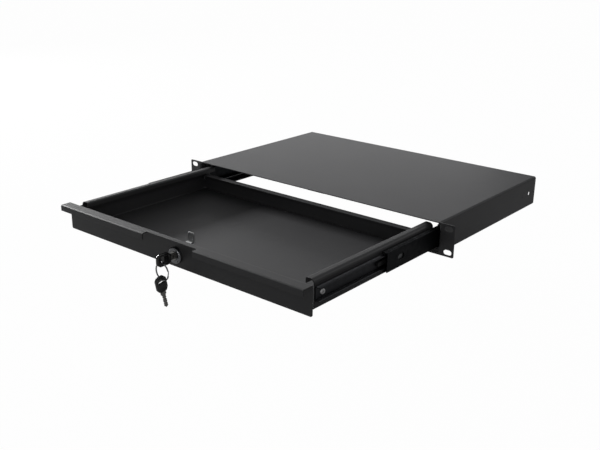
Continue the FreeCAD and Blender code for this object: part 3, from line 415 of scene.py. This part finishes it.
# %% Balls in all four cages
for side in ("right", "left"):
    for cage in ("outer", "inner"):
        node = f"{side}_{cage}_balls"
        low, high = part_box(node)
        centre_x = (low.x + high.x) / 2
        pitch = (high.y - low.y - 2 * BALL_RADIUS) / (BALLS_PER_ROW - 1)
        grow(ball_tree, {
            "Balls per row": BALLS_PER_ROW, "Radius": BALL_RADIUS, "Pitch": (0, pitch, 0),
            "First ball": (centre_x, low.y + BALL_RADIUS, low.z + BALL_RADIUS),
            "To other row": (0, 0, high.z - low.z - 2 * BALL_RADIUS),
            "Steel": finishes["bearing_balls"],
        }, f"{node}_polished", f"{side}_{cage}_cage", "bearing_balls", [node])
print("balls:", 4 * 2 * BALLS_PER_ROW)

# %% [markdown]
# Forms drawn as stacked loops
# A screw head, a bezel and a moulded grip all have a shape that changes from layer to layer along
# one line. So one function takes any number of closed loops of points, each with as many points as
# the last, and lays faces between them. Its ends are closed by a face, or the last loop joins the
# first, as on a tube.

# %% Loops to mesh
MERGE_MM = 0.0005


def skin(name, loops, closed=False, smooth_below=SHARP_DEGREES):
    """Lay faces between loops of points; closed joins the last loop to the first."""
    form = bmesh.new()
    rings = [[form.verts.new(spot) for spot in loop] for loop in loops]
    pairs = list(zip(rings, rings[1:]))
    if closed:
        pairs.append((rings[-1], rings[0]))
    else:
        form.faces.new(rings[0])
        form.faces.new(list(reversed(rings[-1])))
    for one, other in pairs:
        for place in range(len(one)):
            after = (place + 1) % len(one)
            form.faces.new((one[place], one[after], other[after], other[place]))
    bmesh.ops.remove_doubles(form, verts=form.verts, dist=MERGE_MM * MM)
    bmesh.ops.recalc_face_normals(form, faces=form.faces)
    mesh = bpy.data.meshes.new(name)
    form.to_mesh(mesh)
    form.free()
    shade(mesh, smooth_below)
    return mesh


def shade(mesh, smooth_below):
    """Shade smooth, and sharp across edges steeper than the given angle in degrees."""
    mesh.shade_smooth()
    mesh.set_sharp_from_angle(angle=math.radians(smooth_below))


def round_loop(radius, height, points=48):
    """A circle around Z."""
    angles = [2 * math.pi * step / points for step in range(points)]
    return [(radius * math.cos(angle), radius * math.sin(angle), height) for angle in angles]


# %% Cuts
def cut(mesh, cutters, name, smooth_below=SHARP_DEGREES):
    """Cut the cutters out of a mesh with exact booleans and return the result."""
    body = bpy.data.objects.new(name, mesh)
    bpy.context.scene.collection.objects.link(body)
    tools = []
    for cutter in cutters:
        tool = bpy.data.objects.new(name + "_tool", cutter)
        bpy.context.scene.collection.objects.link(tool)
        boolean = body.modifiers.new("cut", "BOOLEAN")
        boolean.operation = "DIFFERENCE"
        boolean.solver = "EXACT"
        boolean.object = tool
        tools.append(tool)
    evaluated = body.evaluated_get(bpy.context.evaluated_depsgraph_get())
    result = bpy.data.meshes.new_from_object(evaluated)
    for thing in [body] + tools:
        bpy.data.objects.remove(thing)
    shade(result, smooth_below)
    return result


def block(name, low, high):
    """A box between two corners, as a cutter."""
    flat = [(low[0], low[1]), (high[0], low[1]), (high[0], high[1]), (low[0], high[1])]
    return skin(name, [[(x, y, z) for x, y in flat] for z in (low[2], high[2])])

# %% [markdown]
# Cross-recess screws
# A slide is screwed to its drawer with flat pan heads. Each head is pressed, so its rim is rounded,
# and the driver's cross is a tapered hole with four wings. One screw is modelled in full, standing
# on Z, and a node tree sets it at each place on both sides of the drawer, with its head turned
# outwards.

# %% One pan-head screw
HEAD_RADIUS = 3.6 * MM
HEAD_HEIGHT = 2.0 * MM
SHANK_RADIUS = 2.0 * MM
SHANK_LENGTH = 2.1 * MM
WING_REACH = HEAD_RADIUS * 0.56
WING_HALF_WIDTH = 0.45 * MM
CROSS_FLOOR = HEAD_HEIGHT * 0.25
FLOOR_SHARE = 0.45     # how much of the cross is left at its floor


def pan_head_screw():
    """Screw with its seat at the origin and its head towards +Z."""
    # radius and height, from the shank's tip to the crown
    profile = [(SHANK_RADIUS * 0.8, -SHANK_LENGTH), (SHANK_RADIUS, -SHANK_LENGTH * 0.9),
               (SHANK_RADIUS, 0), (HEAD_RADIUS * 0.97, 0),
               (HEAD_RADIUS, HEAD_HEIGHT * 0.08), (HEAD_RADIUS, HEAD_HEIGHT * 0.35),
               (HEAD_RADIUS * 0.965, HEAD_HEIGHT * 0.6), (HEAD_RADIUS * 0.87, HEAD_HEIGHT * 0.82),
               (HEAD_RADIUS * 0.7, HEAD_HEIGHT * 0.95), (HEAD_RADIUS * 0.45, HEAD_HEIGHT)]
    screw = skin("pan_head", [round_loop(radius, height) for radius, height in profile])
    wings = []
    for along_x in (True, False):
        loops = []
        for height, share in ((CROSS_FLOOR, FLOOR_SHARE), (HEAD_HEIGHT * 1.1, 1)):
            reach, across = (WING_REACH * share, WING_HALF_WIDTH * (0.5 + share / 2))
            if not along_x:
                reach, across = across, reach
            loops.append([(-reach, -across, height), (reach, -across, height),
                          (reach, across, height), (-reach, across, height)])
        wings.append(skin("wing", loops))
    return cut(screw, wings, "pan_head_cross")


screw_master = bpy.data.objects.new("screw_master", pan_head_screw())
print("faces of one screw:", len(screw_master.data.polygons))

# %% A tree that sets hardware along both sides
SCREW_TURN = math.radians(14)
side_tree = new_geometry_tree("hardware_on_both_sides")
add_input(side_tree, "Piece", "NodeSocketObject", None)
add_input(side_tree, "Count", "NodeSocketInt", 2)
add_input(side_tree, "First on the right", "NodeSocketVector", None)
add_input(side_tree, "First on the left", "NodeSocketVector", None)
add_input(side_tree, "Pitch", "NodeSocketVector", None)
add_input(side_tree, "Finish", "NodeSocketMaterial", None)
given = add(side_tree, "NodeGroupInput").outputs
copied = add(side_tree, "GeometryNodeObjectInfo", inputs={"Object": given["Piece"]})
both = add(side_tree, "GeometryNodeJoinGeometry")
for first, face in (("First on the right", 1), ("First on the left", -1)):
    line = add(side_tree, "GeometryNodeMeshLine", {"mode": "OFFSET"}, {
        "Count": given["Count"], "Start Location": given[first], "Offset": given["Pitch"]})
    facing = add(side_tree, "GeometryNodeInstanceOnPoints", inputs={
        "Points": line.outputs["Mesh"], "Instance": copied.outputs["Geometry"],
        "Rotation": (SCREW_TURN, face * math.pi / 2, 0)})
    side_tree.links.new(facing.outputs["Instances"], both.inputs["Geometry"])
real = add(side_tree, "GeometryNodeRealizeInstances", inputs={"Geometry": both.outputs["Geometry"]})
coat = add(side_tree, "GeometryNodeSetMaterial", inputs={
    "Geometry": real.outputs["Geometry"], "Material": given["Finish"]})
add(side_tree, "NodeGroupOutput", inputs={"Geometry": coat.outputs["Geometry"]})
print("nodes in the tree of hardware:", len(side_tree.nodes))

# %% Screws that hold the drawer's slides
low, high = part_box("drawer_screws")
seat_x = high.x - HEAD_HEIGHT
screw_z = (low.z + high.z) / 2
grow(side_tree, {
    "Piece": screw_master, "Count": 2,
    "First on the right": (seat_x, low.y + HEAD_RADIUS, screw_z),
    "First on the left": (-seat_x, low.y + HEAD_RADIUS, screw_z),
    "Pitch": (0, high.y - low.y - 2 * HEAD_RADIUS, 0), "Finish": finishes["zinc_screws"],
}, "slide_screws", "drawer", "zinc_screws", ["drawer_screws"])
bpy.data.objects.remove(screw_master)
print("screw seats at x =", round(seat_x / MM, 1), "mm")

# %% [markdown]
# The cam lock's barrel
# A cam lock is a zinc casting, chromed in front. Its bezel is domed so that the light runs round
# it, and behind the panel it carries a fine thread, milled away on two sides so that it can't turn
# in its flatted hole. The thread is a real helix here: each loop's radius swings between root and
# crest, and the swing moves on by one turn per pitch.

# %% Lock barrel
lock_low, lock_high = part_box("lock_barrel")
lock_x, lock_z = (lock_low.x + lock_high.x) / 2, (lock_low.z + lock_high.z) / 2
THREAD_RADIUS = 9.5 * MM
THREAD_DEPTH = 0.5 * MM
THREAD_PITCH = 1.0 * MM
HALF_FLATS = 8.0 * MM
BORE_RADIUS = 5.98 * MM
BEZEL_RADIUS = 11.0 * MM
BEZEL_HEIGHT = 5.0 * MM
BORE_CHAMFER = 0.3 * MM
LOOPS_PER_TURN = 6
LEAD_LENGTH = 0.8 * MM  # the thread fades out over this length at its end


def lock_loop(y, radius, points=96, threaded=False):
    """A circle about the lock's axis, or one loop of its flatted thread."""
    loop = []
    for step in range(points):
        angle = 2 * math.pi * step / points
        reach = radius
        if threaded:
            phase = (y / THREAD_PITCH - step / points) % 1
            reach -= THREAD_DEPTH * (1 - abs(2 * phase - 1))
        x, up = reach * math.cos(angle), reach * math.sin(angle)
        if threaded:
            x = max(-HALF_FLATS, min(HALF_FLATS, x))
        loop.append((x, y, lock_z + up))
    return loop


def lock_barrel():
    """Domed bezel, threaded barrel and bore as one closed ring of loops."""
    face, seat, back = lock_low.y, lock_low.y + BEZEL_HEIGHT, lock_high.y
    # depth behind the face in millimetres, and radius, from the bore outwards over the dome
    dome = [(0.35, BORE_RADIUS), (0.08, BORE_RADIUS + 0.3 * MM), (0, BORE_RADIUS + 0.8 * MM),
            (0, 8.5 * MM), (0.12, 9.1 * MM), (0.5, 9.7 * MM), (1.1, 10.2 * MM), (1.9, 10.6 * MM),
            (2.9, 10.9 * MM), (3.6, BEZEL_RADIUS), (4.7, BEZEL_RADIUS), (5.0, 10.75 * MM)]
    loops = [lock_loop(face + depth * MM, radius) for depth, radius in dome]
    rows = round((back - seat) / THREAD_PITCH * LOOPS_PER_TURN)
    for row in range(rows + 1):
        y = seat + (back - seat) * row / rows
        lead = min(1.0, (back - y) / LEAD_LENGTH)
        loops.append(lock_loop(y, THREAD_RADIUS - THREAD_DEPTH * (1 - lead), threaded=True))
    loops.append(lock_loop(back, BORE_RADIUS + BORE_CHAMFER))
    loops.append(lock_loop(back - BORE_CHAMFER, BORE_RADIUS))
    return skin("threaded_barrel", loops, closed=True)


keep_piece(lock_barrel(), "threaded_barrel", "drawer", "chromed_lock", ["lock_barrel"])
print("thread turns:", round((lock_high.y - lock_low.y - BEZEL_HEIGHT) / THREAD_PITCH))

# %% [markdown]
# Keys with moulded grips
# The grip is a flat lozenge with sloped corners, moulded over the steel, with eased rims, a shallow
# panel pressed into each face and an oblong hole for the ring. Its outline is one short list of
# corners. Every layer uses the same corners moved inwards by some tenths of a millimetre, so all
# loops have as many points and skin into one form.

# %% Outlines from corners
BOW_LENGTH = 21.0
BOW_HALF_THICKNESS = 2.5
BOW_CORNERS = [(0, -4.4), (3.6, -7.8), (16.4, -7.8), (BOW_LENGTH, -4.8),
               (BOW_LENGTH, 4.8), (16.4, 7.8), (3.6, 7.8), (0, 4.4)]
CORNER_CUT_BACK = 1.1
SLOT_MIDDLE = 7.5
SLOT_HALF_LENGTH = 5.3
SLOT_RADIUS = 2.1
HOLE_POINTS = 32


def move_inwards(corners, distance):
    """Corners of a convex outline, counterclockwise, with every side moved inwards."""
    moved = []
    for place, corner in enumerate(corners):
        before = Vector(corners[place - 1])
        after = Vector(corners[(place + 1) % len(corners)])
        corner = Vector(corner)
        one, two = (corner - before).normalized(), (after - corner).normalized()
        inwards = Vector((-one.y - two.y, one.x + two.x)).normalized()
        share = inwards.dot(Vector((-one.y, one.x)))
        moved.append(tuple(corner + inwards * distance / share))
    return moved


def soften(corners, cut_back, steps=5):
    """Replace each corner by a short curve that starts and ends at the given distance from it."""
    outline = []
    for place, corner in enumerate(corners):
        before = Vector(corners[place - 1])
        after = Vector(corners[(place + 1) % len(corners)])
        corner = Vector(corner)
        start = corner + (before - corner).normalized() * cut_back
        end = corner + (after - corner).normalized() * cut_back
        for step in range(steps + 1):
            share = step / steps
            outline.append(tuple(start.lerp(corner, share).lerp(corner.lerp(end, share), share)))
    return outline


def layer(outline, thickness_place):
    """Outline points (along, across) in millimetres to points of the key's own frame."""
    return [(thickness_place * MM, along * MM, across * MM) for along, across in outline]


print("corners of a grip:", len(BOW_CORNERS))


# %% Key grip
def key_grip():
    """Grip with eased rims, a pressed panel on each face, and the ring's hole."""
    half = BOW_HALF_THICKNESS
    # height above the middle, and how far the outline is moved inwards, from pressed panel to rim
    one_side = [(half - 0.3, 2.5), (half - 0.02, 2.15), (half, 1.0),
                (half - 0.15, 0.45), (half - 0.5, 0.12), (half - 1.0, 0)]
    layers = [(-place, inset) for place, inset in one_side] + list(reversed(one_side))
    loops = [layer(soften(move_inwards(BOW_CORNERS, inset), CORNER_CUT_BACK), place)
             for place, inset in layers]
    straight = SLOT_HALF_LENGTH - SLOT_RADIUS
    hole = []
    for step in range(HOLE_POINTS):
        angle = 2 * math.pi * step / HOLE_POINTS
        across = SLOT_RADIUS * math.sin(angle) + (straight if math.sin(angle) >= 0 else -straight)
        hole.append((SLOT_MIDDLE + SLOT_RADIUS * math.cos(angle), across))
    tool = skin("ring_hole", [layer(hole, -2 * half), layer(hole, 2 * half)])
    return cut(skin("key_grip", loops), [tool], "key_grip", smooth_below=38)


print("grip thickness:", 2 * BOW_HALF_THICKNESS, "mm")

# %% [markdown]
# Milled key blades
# The blade is nickel-plated steel strip. Cuts on both edges lift the lock's wafers, and a groove
# down each face lets it pass the keyway's ribs. The cuts stay inside the plain blade of the frame,
# so the key still fits its keyway.

# %% Key blade
BLADE_HALF_WIDTH = 2.5
BLADE_HALF_THICKNESS = 0.9
SHOULDER_HALF_WIDTH = 3.8
SHOULDER_END = 25.5
BLADE_END = 44.0
CUT_PITCH = 2.9
CUT_DEPTHS = (0.5, 0.9, 0.3, 0.75, 0.45)
FIRST_CUT = 2.6        # from the shoulder
CUT_HALF_FLAT = 0.35
TANG_IN_GRIP = 4.5
SHOULDER_CHAMFER = 0.4
TIP_LENGTH = 2.5
TIP_FLAT = 0.5
TIP_HALF_WIDTH = 0.7
GROOVE_DEPTH = 0.4
GROOVE_SIDES = (-0.3, 1.1)


def key_blade():
    """Blade with a shoulder, edge cuts and a groove on each face, in the key's own frame."""
    edge = [(BOW_LENGTH - TANG_IN_GRIP, SHOULDER_HALF_WIDTH),
            (SHOULDER_END - SHOULDER_CHAMFER, SHOULDER_HALF_WIDTH),
            (SHOULDER_END, SHOULDER_HALF_WIDTH - SHOULDER_CHAMFER),
            (SHOULDER_END, BLADE_HALF_WIDTH)]
    for number, depth in enumerate(CUT_DEPTHS):
        cut_middle = SHOULDER_END + FIRST_CUT + CUT_PITCH * number
        edge += [(cut_middle - CUT_HALF_FLAT - depth, BLADE_HALF_WIDTH),
                 (cut_middle - CUT_HALF_FLAT, BLADE_HALF_WIDTH - depth),
                 (cut_middle + CUT_HALF_FLAT, BLADE_HALF_WIDTH - depth),
                 (cut_middle + CUT_HALF_FLAT + depth, BLADE_HALF_WIDTH)]
    edge += [(BLADE_END - TIP_LENGTH, BLADE_HALF_WIDTH), (BLADE_END - TIP_FLAT, TIP_HALF_WIDTH)]
    outline = [(along, -across) for along, across in edge] + list(reversed(edge))
    loops = [layer(outline, place) for place in (-BLADE_HALF_THICKNESS, BLADE_HALF_THICKNESS)]
    grooves = []
    for face in (1, -1):
        ends = sorted((face * (BLADE_HALF_THICKNESS - GROOVE_DEPTH) * MM, face * 2 * MM))
        sides = sorted(face * place * MM for place in GROOVE_SIDES)
        grooves.append(block("groove", (ends[0], (SHOULDER_END - 1) * MM, sides[0]),
                             (ends[1], (BLADE_END + 1) * MM, sides[1])))
    return cut(skin("key_blade", loops), grooves, "key_blade", smooth_below=25)


print("cuts along a blade:", len(CUT_DEPTHS))


# %% Set both keys
def set_key(prefix, tilt_degrees, body):
    """Place a grip and a blade where the frame's key of that name is."""
    turn = Matrix.Rotation(math.radians(tilt_degrees), 4, "X")
    turned = [turn @ Vector((0, along * MM, across * MM)) for along, across in BOW_CORNERS]
    ys, zs = [spot.y for spot in turned], [spot.z for spot in turned]
    low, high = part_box(prefix + "_bow")
    y = (low.y + high.y) / 2 - (min(ys) + max(ys)) / 2
    z = (low.z + high.z) / 2 - (min(zs) + max(zs)) / 2
    for mesh, part, slot in ((key_grip(), "_bow", "key_plastic"),
                             (key_blade(), "_blade", "key_steel")):
        mesh.transform(Matrix.Translation((0, y, z)) @ turn)
        keep_piece(mesh, prefix + part + "_detail", body, slot, [prefix + part])


SPARE_TILT = 12
set_key("key", 0, "key")
set_key("spare_key", SPARE_TILT - 90, "spare_key")
print("keys set, each", BLADE_END, "mm long")

# %% [markdown]
# Split ring
# A key ring is two turns of flattened spring wire that lie against each other. The wire changes
# lanes in a short bend, and its two ends stop on either side of that bend, where a thumbnail opens
# it.

# %% Two turns of wire
low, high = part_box("key_ring")
ring_middle = (low + high) / 2
RING_RADIUS = 11.0 * MM
WIRE_HALF_WIDTH = 0.4 * MM
WIRE_HALF_HEIGHT = 0.75 * MM
LANE = 0.43 * MM
TURN_POINTS = 96
SECTION_POINTS = 12
ROUNDNESS = 0.6        # 1 is an ellipse, and less is squarer
BEND = math.radians(16)


def squarish(wave):
    """A sine or cosine pulled outwards, so that an ellipse becomes a rounded rectangle."""
    return math.copysign(abs(wave) ** ROUNDNESS, wave)


def wire_section(angle, lane_place):
    """Rounded section of the wire at an angle round the ring."""
    loop = []
    for step in range(SECTION_POINTS):
        around = 2 * math.pi * step / SECTION_POINTS
        reach = RING_RADIUS + WIRE_HALF_HEIGHT * squarish(math.cos(around))
        across = lane_place + WIRE_HALF_WIDTH * squarish(math.sin(around))
        loop.append((ring_middle.x + reach * math.cos(angle), ring_middle.y + across,
                     ring_middle.z + reach * math.sin(angle)))
    return loop


def split_ring():
    """Two turns of wire that change lanes halfway."""
    start, end = BEND, 4 * math.pi - BEND
    loops = []
    for step in range(2 * TURN_POINTS + 1):
        angle = start + (end - start) * step / (2 * TURN_POINTS)
        share = max(0.0, min(1.0, (angle - (2 * math.pi - BEND)) / (2 * BEND)))
        share = share * share * (3 - 2 * share)
        loops.append(wire_section(angle, LANE * (2 * share - 1)))
    return skin("split_ring", loops)


keep_piece(split_ring(), "split_ring", "key_ring", "ring_steel", ["key_ring"])
print("wire length:", round(4 * math.pi * RING_RADIUS / MM), "mm")

# %% [markdown]
# Floor and background
# The drawer is held by its ears, so the floor lies well below it. To the camera the floor and the
# world are white, but their light on the object stays at a plain level, and a part of the floor's
# own shade keeps the soft shadow.

# %% Floor
FLOOR_REACH = 6.0
floor_z = cad_low.z - 60 * MM
floor_mesh = bpy.data.meshes.new("studio_floor")
corners = [(-FLOOR_REACH, -FLOOR_REACH, floor_z), (FLOOR_REACH, -FLOOR_REACH, floor_z),
           (FLOOR_REACH, FLOOR_REACH, floor_z), (-FLOOR_REACH, FLOOR_REACH, floor_z)]
floor_mesh.from_pydata(corners, [], [(0, 1, 2, 3)])
floor = bpy.data.objects.new("studio_floor", floor_mesh)
bpy.context.scene.collection.objects.link(floor)


# %% White for the camera, plain light for the object
MIRRORED_SHARE = 0.05  # how much of the white a gloss shows


def white_share(tree, direct, mirrored):
    """The share of plain white that a ray sees, directly or through glass, or in a gloss."""
    path = add(tree, "ShaderNodeLightPath").outputs
    seen = add(tree, "ShaderNodeMath", {"operation": "MAXIMUM"}, {
        0: path["Is Camera Ray"], 1: path["Is Transmission Ray"]})
    bright = add(tree, "ShaderNodeMath", {"operation": "MULTIPLY"}, {0: seen.outputs[0], 1: direct})
    gloss = add(tree, "ShaderNodeMath", {"operation": "MULTIPLY"}, {
        0: path["Is Glossy Ray"], 1: mirrored})
    either = add(tree, "ShaderNodeMath", {"operation": "MAXIMUM"}, {
        0: bright.outputs[0], 1: gloss.outputs[0]})
    return either.outputs[0]


paper, tree = new_material("pale studio paper")
share = white_share(tree, 0.985, MIRRORED_SHARE)
matt = add(tree, "ShaderNodeBsdfDiffuse", inputs={"Color": linear("959595")})
white = add(tree, "ShaderNodeEmission", inputs={"Color": (1, 1, 1, 1), "Strength": 1.0})
mixed = add(tree, "ShaderNodeMixShader", inputs={"Fac": share})
tree.links.new(matt.outputs[0], mixed.inputs[1])
tree.links.new(white.outputs[0], mixed.inputs[2])
add(tree, "ShaderNodeOutputMaterial", inputs={"Surface": mixed.outputs[0]})
floor_mesh.materials.append(paper)
print("floor at", round(floor_z / MM), "mm")

# %% World
world = bpy.data.worlds.new("studio")
bpy.context.scene.world = world
world.use_nodes = True
world.node_tree.nodes.clear()
tree = world.node_tree
share = white_share(tree, 1, MIRRORED_SHARE)
air = add(tree, "ShaderNodeBackground", inputs={"Color": linear("f2f3f5"), "Strength": 0.2})
white = add(tree, "ShaderNodeBackground", inputs={"Color": (1, 1, 1, 1), "Strength": 1.0})
mixed = add(tree, "ShaderNodeMixShader", inputs={"Fac": share})
tree.links.new(air.outputs[0], mixed.inputs[1])
tree.links.new(white.outputs[0], mixed.inputs[2])
add(tree, "ShaderNodeOutputWorld", inputs={"Surface": mixed.outputs[0]})
bpy.context.scene.view_settings.view_transform = "Standard"
print("world:", world.name)

# %% [markdown]
# Soft studio light
# Black paint scatters little light, and mirrors more the flatter it is seen. The key light is a low
# softbox far out on the left, about 14 degrees up: it grazes every flat top, and the tray's left
# wall throws a shadow over the left third of the tray's floor. Weak boxes low behind give the lip
# and the housing their sheen, one on the right keeps the slide readable, one behind it draws thin
# lines on the slide's long edges, and one overhead fills in. A small lamp over the camera lights
# the chrome.

# %% Lamps
def softbox(name, place, target, wide, high, watts):
    """A soft rectangular lamp aimed at a target, sized in metres."""
    lamp = bpy.data.lights.new(name, "AREA")
    lamp.shape = "RECTANGLE"
    lamp.size = wide
    lamp.size_y = high
    lamp.energy = watts
    holder = bpy.data.objects.new(name, lamp)
    holder.location = place
    holder.rotation_euler = (Vector(target) - Vector(place)).to_track_quat("-Z", "Y").to_euler()
    holder.visible_camera = False
    bpy.context.scene.collection.objects.link(holder)


middle = (cad_low + cad_high) / 2
tray_middle = (-0.05, -0.13, -0.02)
softbox("key softbox low on the left", (-2.6, 0.1, 0.62), tray_middle, 0.8, 0.25, 175)
left_lip_end = (-0.22, -0.27, 0.02)
softbox("low softbox behind the lip", (-1.2, 0.45, 0.2), left_lip_end, 0.5, 0.15, 0.8)
softbox("back softbox", (-0.78, 1.12, 0.3), (0, 0.1, 0.02), 1.0, 0.3, 0.95)
softbox("right softbox", (1.5, -1.5, 0.5), middle, 0.5, 0.35, 2.2)
softbox("edge softbox behind on the right", (0.9, 1.2, 0.9), middle, 0.5, 0.3, 1.3)
bezel = (lock_x, lock_low.y, lock_z)
softbox("small lamp over the camera", (0.73, -1.27, 0.83), bezel, 0.14, 0.14, 1.1)
softbox("overhead softbox", (-0.3, 0.5, 1.7), middle, 2.2, 1.8, 3)
print("lamps:", len(bpy.data.lights))

# %% [markdown]
# Camera
# The drawer is seen from the front right and a little above. A new camera looks straight down. It
# is turned round to the side, tipped up, and last rolled half a degree about its line of sight.

# %% Camera
camera_data = bpy.data.cameras.new("studio_camera")
camera = bpy.data.objects.new("studio_camera", camera_data)
bpy.context.scene.collection.objects.link(camera)
bpy.context.scene.camera = camera
CAMERA_PLACE = (0.71491, -0.87931, 0.37187)
round_the_side = math.radians(40.08)
above_level = math.radians(19.52)
tilt = math.radians(0.5)
turn = (Matrix.Rotation(round_the_side, 4, "Z")
        @ Matrix.Rotation(math.pi / 2 - above_level, 4, "X")
        @ Matrix.Rotation(tilt, 4, "Z"))
camera.matrix_world = Matrix.Translation(CAMERA_PLACE) @ turn
camera_data.lens = 49.55
camera_data.sensor_width = 36
camera_data.shift_x = 0.01104
camera_data.shift_y = -0.00412
camera_data.clip_start = 0.05
print("camera to drawer:", round((camera.location - middle).length, 2), "m")
